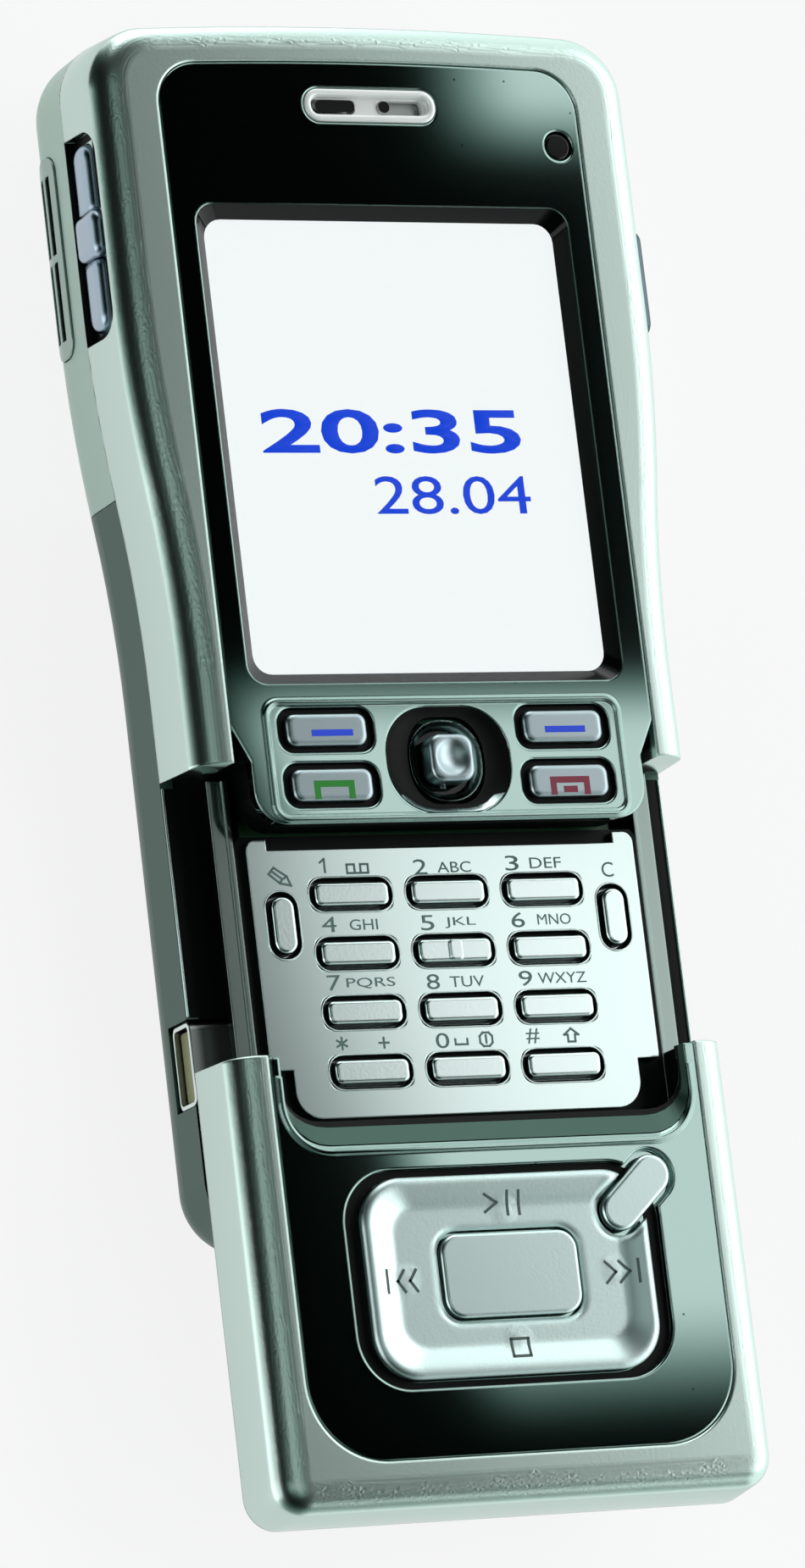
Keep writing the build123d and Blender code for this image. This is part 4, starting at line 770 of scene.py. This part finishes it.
class PHONE_OT_earpiece_rim(bpy.types.Operator):
    """Raise the rounded rim of the earpiece, kept white as a painted highlight, and lay black sheets of painted shade
    in its slots
    """

    bl_idname = "phone.earpiece_rim"
    bl_label = "Earpiece rim"

    def execute(self, context):
        (x, y, _), (wide, long, _) = middle("earpiece_grille")
        level = top("earpiece_grille")
        line, height, rounding = EARPIECE_RIM
        rim = ring((x, y, level), (wide, long), long / 2 - EARPIECE_EASE, line * MM, 8)
        rim.name = "earpiece_rim"
        thicken(rim, height * MM)
        soften(rim, rounding)
        high, corner, depth = EARPIECE_SLOT
        slots = joined("earpiece_slots", [
            tile((x + across, y, level - depth), (slot_wide, high), corner) for across, slot_wide in EARPIECE_SLOTS])
        thicken(slots, context.scene.phone_sizes.lining)
        for piece, material, slot in ((rim, "white_nickel", "chrome_trim"), (slots, "black_oxide", "gloss_black")):
            coat(piece, bpy.data.materials[material])
            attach(piece, "body")
        return {"FINISHED"}


# thickness and rounding of the black sheets of painted shade that line a wall or a rim, in mm
SHEET = (0.03, 0.01)
# name, material, slot, distance from the middle, width, height and rounding of the strips on the housing's rim
CHANNEL_STRIPS = (
    ("channel_lining", "black_oxide", "gloss_black", 24.1, 1.75, *SHEET),
    ("channel_edge", "satin_steel", "chrome_trim", 25.14, 0.26, 0.2, 0.09),
)
# side, middle and length of each strip: the left ones end at the data socket
CHANNEL_SPANS = ((-1, -11.0, 21.0), (1, -13.5, 26.0))
CHANNEL_HEIGHT = 9.6


class PHONE_OT_channel_edges(bpy.types.Operator):
    """Line the rim of the rear housing beside the keypad with a black sheet of painted shade, with a bright edge"""

    bl_idname = "phone.channel_edges"
    bl_label = "Channel edges"

    def execute(self, context):
        for name, material, slot, x, wide, high, rounding in CHANNEL_STRIPS:
            piece = joined(name, [
                bar((side * x, y, CHANNEL_HEIGHT), (wide, long)) for side, y, long in CHANNEL_SPANS])
            thicken(piece, high * MM)
            soften(piece, rounding)
            coat(piece, bpy.data.materials[material])
            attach(piece, "body")
        return {"FINISHED"}


# the volume keys' recess, in mm: middle and size of the black sheet of painted shade on its ledge, and y, z, length and
# height of the bars of its lining, also painted shade
VOLUME_LEDGE = ((-27.04, 50.4, 9.61), (1.06, 19.4))
VOLUME_LINING = (
    (41.0, 12.2, 0.9, 5.2), (59.8, 12.2, 0.9, 5.2), (44.6, 14.1, 6.8, 1.5), (56.2, 14.1, 6.8, 1.5),
    (50.4, 14.7, 4.8, 0.5), (50.4, 9.83, 18.6, 0.3),
)
# the data socket, in mm: its middle, size and corner of its insert, and size, corner and line of its rim
SOCKET_MIDDLE = (25.6, 7.55, 0)
SOCKET_INSERT = ((6.5, 2.7), 0.4)
SOCKET_RIM = ((7.6, 3.8), 0.8, 0.42)


class PHONE_OT_side_details(bpy.types.Operator):
    """Line the volume keys' recess with black sheets of painted shade, and fit the data socket's rim and insert"""

    bl_idname = "phone.side_details"
    bl_label = "Side details"

    def execute(self, context):
        sheet, sheet_rounding = SHEET
        ledge = bar(*VOLUME_LEDGE)
        ledge.name = "volume_recess_ledge"
        thicken(ledge, sheet * MM)
        soften(ledge, sheet_rounding)
        # the other pieces are laid out flat as the left side shows them, then stood up against it
        lining = joined("volume_recess_lining", [
            bar((-y, z, LAYER * step), (long, high)) for step, (y, z, long, high) in enumerate(VOLUME_LINING)])
        insert = tile(SOCKET_MIDDLE, *SOCKET_INSERT)
        insert.name = "usb_insert"
        rim_size, rim_corner, rim_line = SOCKET_RIM
        rim = ring(SOCKET_MIDDLE, rim_size, rim_corner, rim_line * MM)
        rim.name = "usb_rim"
        for piece, side, depth, rounding in (
                (lining, -26.51, *SHEET), (insert, -24.1, 0.4, 0.15), (rim, -24.96, 0.12, 0.05)):
            thicken(piece, depth * MM)
            soften(piece, rounding)
            piece.rotation_euler = (math.radians(90), 0, math.radians(-90))
            piece.location = (side * MM, 0, 0)
            settle(piece)
        for piece, material, slot in (
                (ledge, "black_oxide", "gloss_black"), (lining, "black_oxide", "gloss_black"),
                (insert, "moulded_nylon", ""), (rim, "polished_chrome", "chrome_trim")):
            coat(piece, bpy.data.materials[material])
            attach(piece, "body")
        return {"FINISHED"}


# one overhead soft box, whose black flags leave three bright parts with soft edges. Each edge is where it
# starts and where it is full, in metres on the box: across first, then along
SOFT_BOX = ((1.0, 0.1, 1.017), (1.2, 1.4), 1.5)
SOFT_BOX_PARTS = (
    ((0.474, 0.494), (0.072, 0.104), (0.257, 0.238)),
    ((0.518, 0.550), (0.376, 0.398), (0.9, 0.8)),
    ((0.566, 0.596), (-0.6, -0.4), (0.9, 0.8)),
)
# how much the near part's edge leans for each metre along, and where along it doesn't
NEAR_PART_LEAN = 0.26
NEAR_PART_PIVOT = 0.139
# what the lamp's light turns to where it fades
SOFT_BOX_FADE = "#9CC8BC"
# lamps beside the phone that only its sides see: name, place, size, brightness and where it looks
SIDE_BOXES = (
    ("left_box", (-0.6, -0.2, 0.36), (0.5, 0.6), 1.1, (1, 0, 0)),
    ("top_box", (0.13, 0.9, 0.45), (0.55, 0.7), 1.2, (0, -1, 0)),
)
# how much of the paper's white is its own glow, for the eye and in reflections
PAPER_GLOW = 0.85
# the floor is this far below the phone, in metres
FLOOR_GAP = 0.0005
# light of the room by the height of the direction, from 0 level to 1 overhead: start, full, low and high
ROOM_WALLS = (0.0, 0.72, 1.5, 0.005)
ROOM_TALL_WALL = (0.68, 0.8, 1.5, 0.0)
ROOM_ZENITH = (0.925, 1.0, 0.0, 0.9)
# shares of light by compass direction, in degrees: direction, start, full, low and high
ROOM_TALL_WALL_WAY = (20, 0.1, 0.4, 0.0, 1.0)
ROOM_OPENINGS = ((137, 0.86, 0.97, 1.0, 0.05), (-105, 0.75, 1.0, 1.0, 0.45))
# the camera's place in metres, turn in degrees, and lens and sensor in mm
CAMERA_PLACE = (-0.31896, -0.14641, 0.64694)
CAMERA_TURN = (14.7796, -24.9546, -7.3570)
CAMERA_LENS = 183.04
CAMERA_SENSOR = 36.0


class PHONE_OT_stage(bpy.types.Operator):
    """Set up the studio floor, the lamps and the camera"""

    bl_idname = "phone.stage"
    bl_label = "Studio"

    def execute(self, context):
        scene = context.scene
        clear_selection()
        bpy.ops.mesh.primitive_plane_add(size=scene.phone_sizes.floor_side, location=(0, 0, -FLOOR_GAP))
        floor = context.object
        floor.name = "studio_floor"
        settle(floor)
        coat(floor, self.paper(scene.phone_colours.floor))
        self.room(scene)
        self.shade(self.lamp("soft_box", *SOFT_BOX, (0, 0, -1)))
        for side_box in SIDE_BOXES:
            self.lamp(*side_box)
        clear_selection()
        bpy.ops.object.camera_add(
            location=CAMERA_PLACE, rotation=[math.radians(angle) for angle in CAMERA_TURN])
        camera = context.object
        camera.data.sensor_width = CAMERA_SENSOR
        camera.data.lens = CAMERA_LENS
        camera.data.clip_start = 0.01
        scene.camera = camera
        scene.view_settings.view_transform = "Standard"
        return {"FINISHED"}

    @staticmethod
    def lamp(name, place, size, radiance, way):
        """A soft box of this size that looks this way."""
        clear_selection()
        bpy.ops.object.light_add(type="AREA", location=place)
        lamp = bpy.context.object
        lamp.name = name
        lamp.data.shape = "RECTANGLE"
        lamp.data.size, lamp.data.size_y = size
        lamp.data.energy = radiance * math.pi * size[0] * size[1]
        lamp.rotation_mode = "QUATERNION"
        lamp.rotation_quaternion = Vector(way).to_track_quat("-Z", "Y")
        return lamp

    @staticmethod
    def shade(lamp):
        """Leaves only the bright parts of the soft box."""
        tree = cleared_tree(lamp.data)
        place = add_node(tree, "ShaderNodeNewGeometry").outputs["Position"]
        axes = add_node(tree, "ShaderNodeSeparateXYZ", {"Vector": place})
        lean = calculated(
            tree, "MULTIPLY_ADD", axes.outputs["Y"], NEAR_PART_LEAN, -NEAR_PART_LEAN * NEAR_PART_PIVOT)
        leaning = calculated(tree, "ADD", axes.outputs["X"], lean)
        bright = 0.0
        for across, part in zip((leaning, axes.outputs["X"], axes.outputs["X"]), SOFT_BOX_PARTS):
            share = 1.0
            for value, (start, full) in zip((across, axes.outputs["Y"], axes.outputs["Y"]), part):
                edge = ramp(tree, value, start, full, shape="SMOOTHSTEP")
                share = calculated(tree, "MULTIPLY", share, edge)
            bright = calculated(tree, "MAXIMUM", bright, share)
        tint = blended(tree, bright, linear(SOFT_BOX_FADE), (1, 1, 1, 1))
        glow = add_node(tree, "ShaderNodeEmission", {"Color": tint, "Strength": bright})
        add_node(tree, "ShaderNodeOutputLight", {"Surface": glow.outputs["Emission"]})

    @staticmethod
    def paper(shade):
        """White studio paper: it takes the phone's shadow, and looks white to the eye and in reflections."""
        made = bpy.data.materials.new("studio_paper")
        tree = cleared_tree(made)
        sheet = add_node(tree, "ShaderNodeBsdfDiffuse", {"Color": shade})
        glow = add_node(tree, "ShaderNodeEmission", {"Color": (1, 1, 1, 1), "Strength": 1.0})
        path = add_node(tree, "ShaderNodeLightPath")
        seen = calculated(tree, "MAXIMUM", path.outputs["Is Camera Ray"], path.outputs["Is Glossy Ray"])
        share = calculated(tree, "MULTIPLY", seen, PAPER_GLOW)
        mixed = add_node(tree, "ShaderNodeMixShader", {
            0: share, 1: sheet.outputs["BSDF"], 2: glow.outputs["Emission"]})
        add_node(tree, "ShaderNodeOutputMaterial", {"Surface": mixed.outputs["Shader"]})
        return made

    @staticmethod
    def room(scene):
        """A studio with bright walls, a black ceiling and two dark openings, white where the eye sees it directly."""
        world = bpy.data.worlds.new("studio_room")
        scene.world = world
        tree = cleared_tree(world)
        way = add_node(tree, "ShaderNodeTexCoord").outputs["Object"]
        height = add_node(tree, "ShaderNodeSeparateXYZ", {"Vector": way}).outputs["Z"]
        light = ramp(tree, height, *ROOM_WALLS)
        flat = add_node(tree, "ShaderNodeVectorMath", {0: way, 1: (1, 1, 0)}, operation="MULTIPLY").outputs[0]
        flat = add_node(tree, "ShaderNodeVectorMath", {0: flat}, operation="NORMALIZE").outputs[0]

        def towards(turn, start, full, low, high):
            """The share of light round a compass direction."""
            way_there = (math.cos(math.radians(turn)), math.sin(math.radians(turn)), 0)
            facing = add_node(tree, "ShaderNodeVectorMath", {0: flat, 1: way_there}, operation="DOT_PRODUCT")
            return ramp(tree, facing.outputs["Value"], start, full, low, high, "SMOOTHSTEP")

        wall = calculated(tree, "MULTIPLY", ramp(tree, height, *ROOM_TALL_WALL), towards(*ROOM_TALL_WALL_WAY))
        light = calculated(tree, "MAXIMUM", light, wall)
        light = calculated(tree, "MAXIMUM", light, ramp(tree, height, *ROOM_ZENITH))
        for opening in ROOM_OPENINGS:
            light = calculated(tree, "MULTIPLY", light, towards(*opening))
        tint = blended(tree, light, scene.phone_colours.dusk, scene.phone_colours.room)
        walls = add_node(tree, "ShaderNodeBackground", {"Color": tint, "Strength": light})
        white = add_node(tree, "ShaderNodeBackground", {"Color": (1, 1, 1, 1), "Strength": 1.0})
        path = add_node(tree, "ShaderNodeLightPath")
        mixed = add_node(tree, "ShaderNodeMixShader", {
            0: path.outputs["Is Camera Ray"], 1: walls.outputs["Background"], 2: white.outputs["Background"]})
        add_node(tree, "ShaderNodeOutputWorld", {"Surface": mixed.outputs["Shader"]})


OPERATORS = (PHONE_OT_finishes, PHONE_OT_legends, PHONE_OT_key_signs, PHONE_OT_music_signs,
             PHONE_OT_display_picture, PHONE_OT_key_trims, PHONE_OT_window_lining, PHONE_OT_key_grooves,
             PHONE_OT_joystick_well, PHONE_OT_pad_groove, PHONE_OT_scoop_shade, PHONE_OT_earpiece_rim,
             PHONE_OT_channel_edges, PHONE_OT_side_details, PHONE_OT_stage)


class PHONE_PT_panel(bpy.types.Panel):
    """Lists the phone's pieces, colours and sizes"""

    bl_idname = "PHONE_PT_panel"
    bl_label = "Slider Phone"
    bl_space_type = "VIEW_3D"
    bl_region_type = "UI"
    bl_category = "Slider Phone"

    def draw(self, context):
        for operator in OPERATORS:
            self.layout.operator(operator.bl_idname)
        for group in (context.scene.phone_colours, context.scene.phone_sizes):
            box = self.layout.box()
            for name in group.bl_rna.properties.keys():
                if name not in ("rna_type", "name"):
                    box.prop(group, name)


CLASSES = (PhoneColours, PhoneSizes, *OPERATORS, PHONE_PT_panel)


def register():
    for each in CLASSES:
        bpy.utils.register_class(each)
    bpy.types.Scene.phone_colours = bpy.props.PointerProperty(type=PhoneColours)
    bpy.types.Scene.phone_sizes = bpy.props.PointerProperty(type=PhoneSizes)


def unregister():
    del bpy.types.Scene.phone_sizes
    del bpy.types.Scene.phone_colours
    for each in reversed(CLASSES):
        bpy.utils.unregister_class(each)


def main():
    register()
    bpy.ops.phone.finishes()
    bpy.ops.phone.legends()
    bpy.ops.phone.key_signs()
    bpy.ops.phone.music_signs()
    bpy.ops.phone.display_picture()
    bpy.ops.phone.key_trims()
    bpy.ops.phone.window_lining()
    bpy.ops.phone.key_grooves()
    bpy.ops.phone.joystick_well()
    bpy.ops.phone.pad_groove()
    bpy.ops.phone.scoop_shade()
    bpy.ops.phone.earpiece_rim()
    bpy.ops.phone.channel_edges()
    bpy.ops.phone.side_details()
    bpy.ops.phone.stage()


if __name__ == "__main__":
    main()
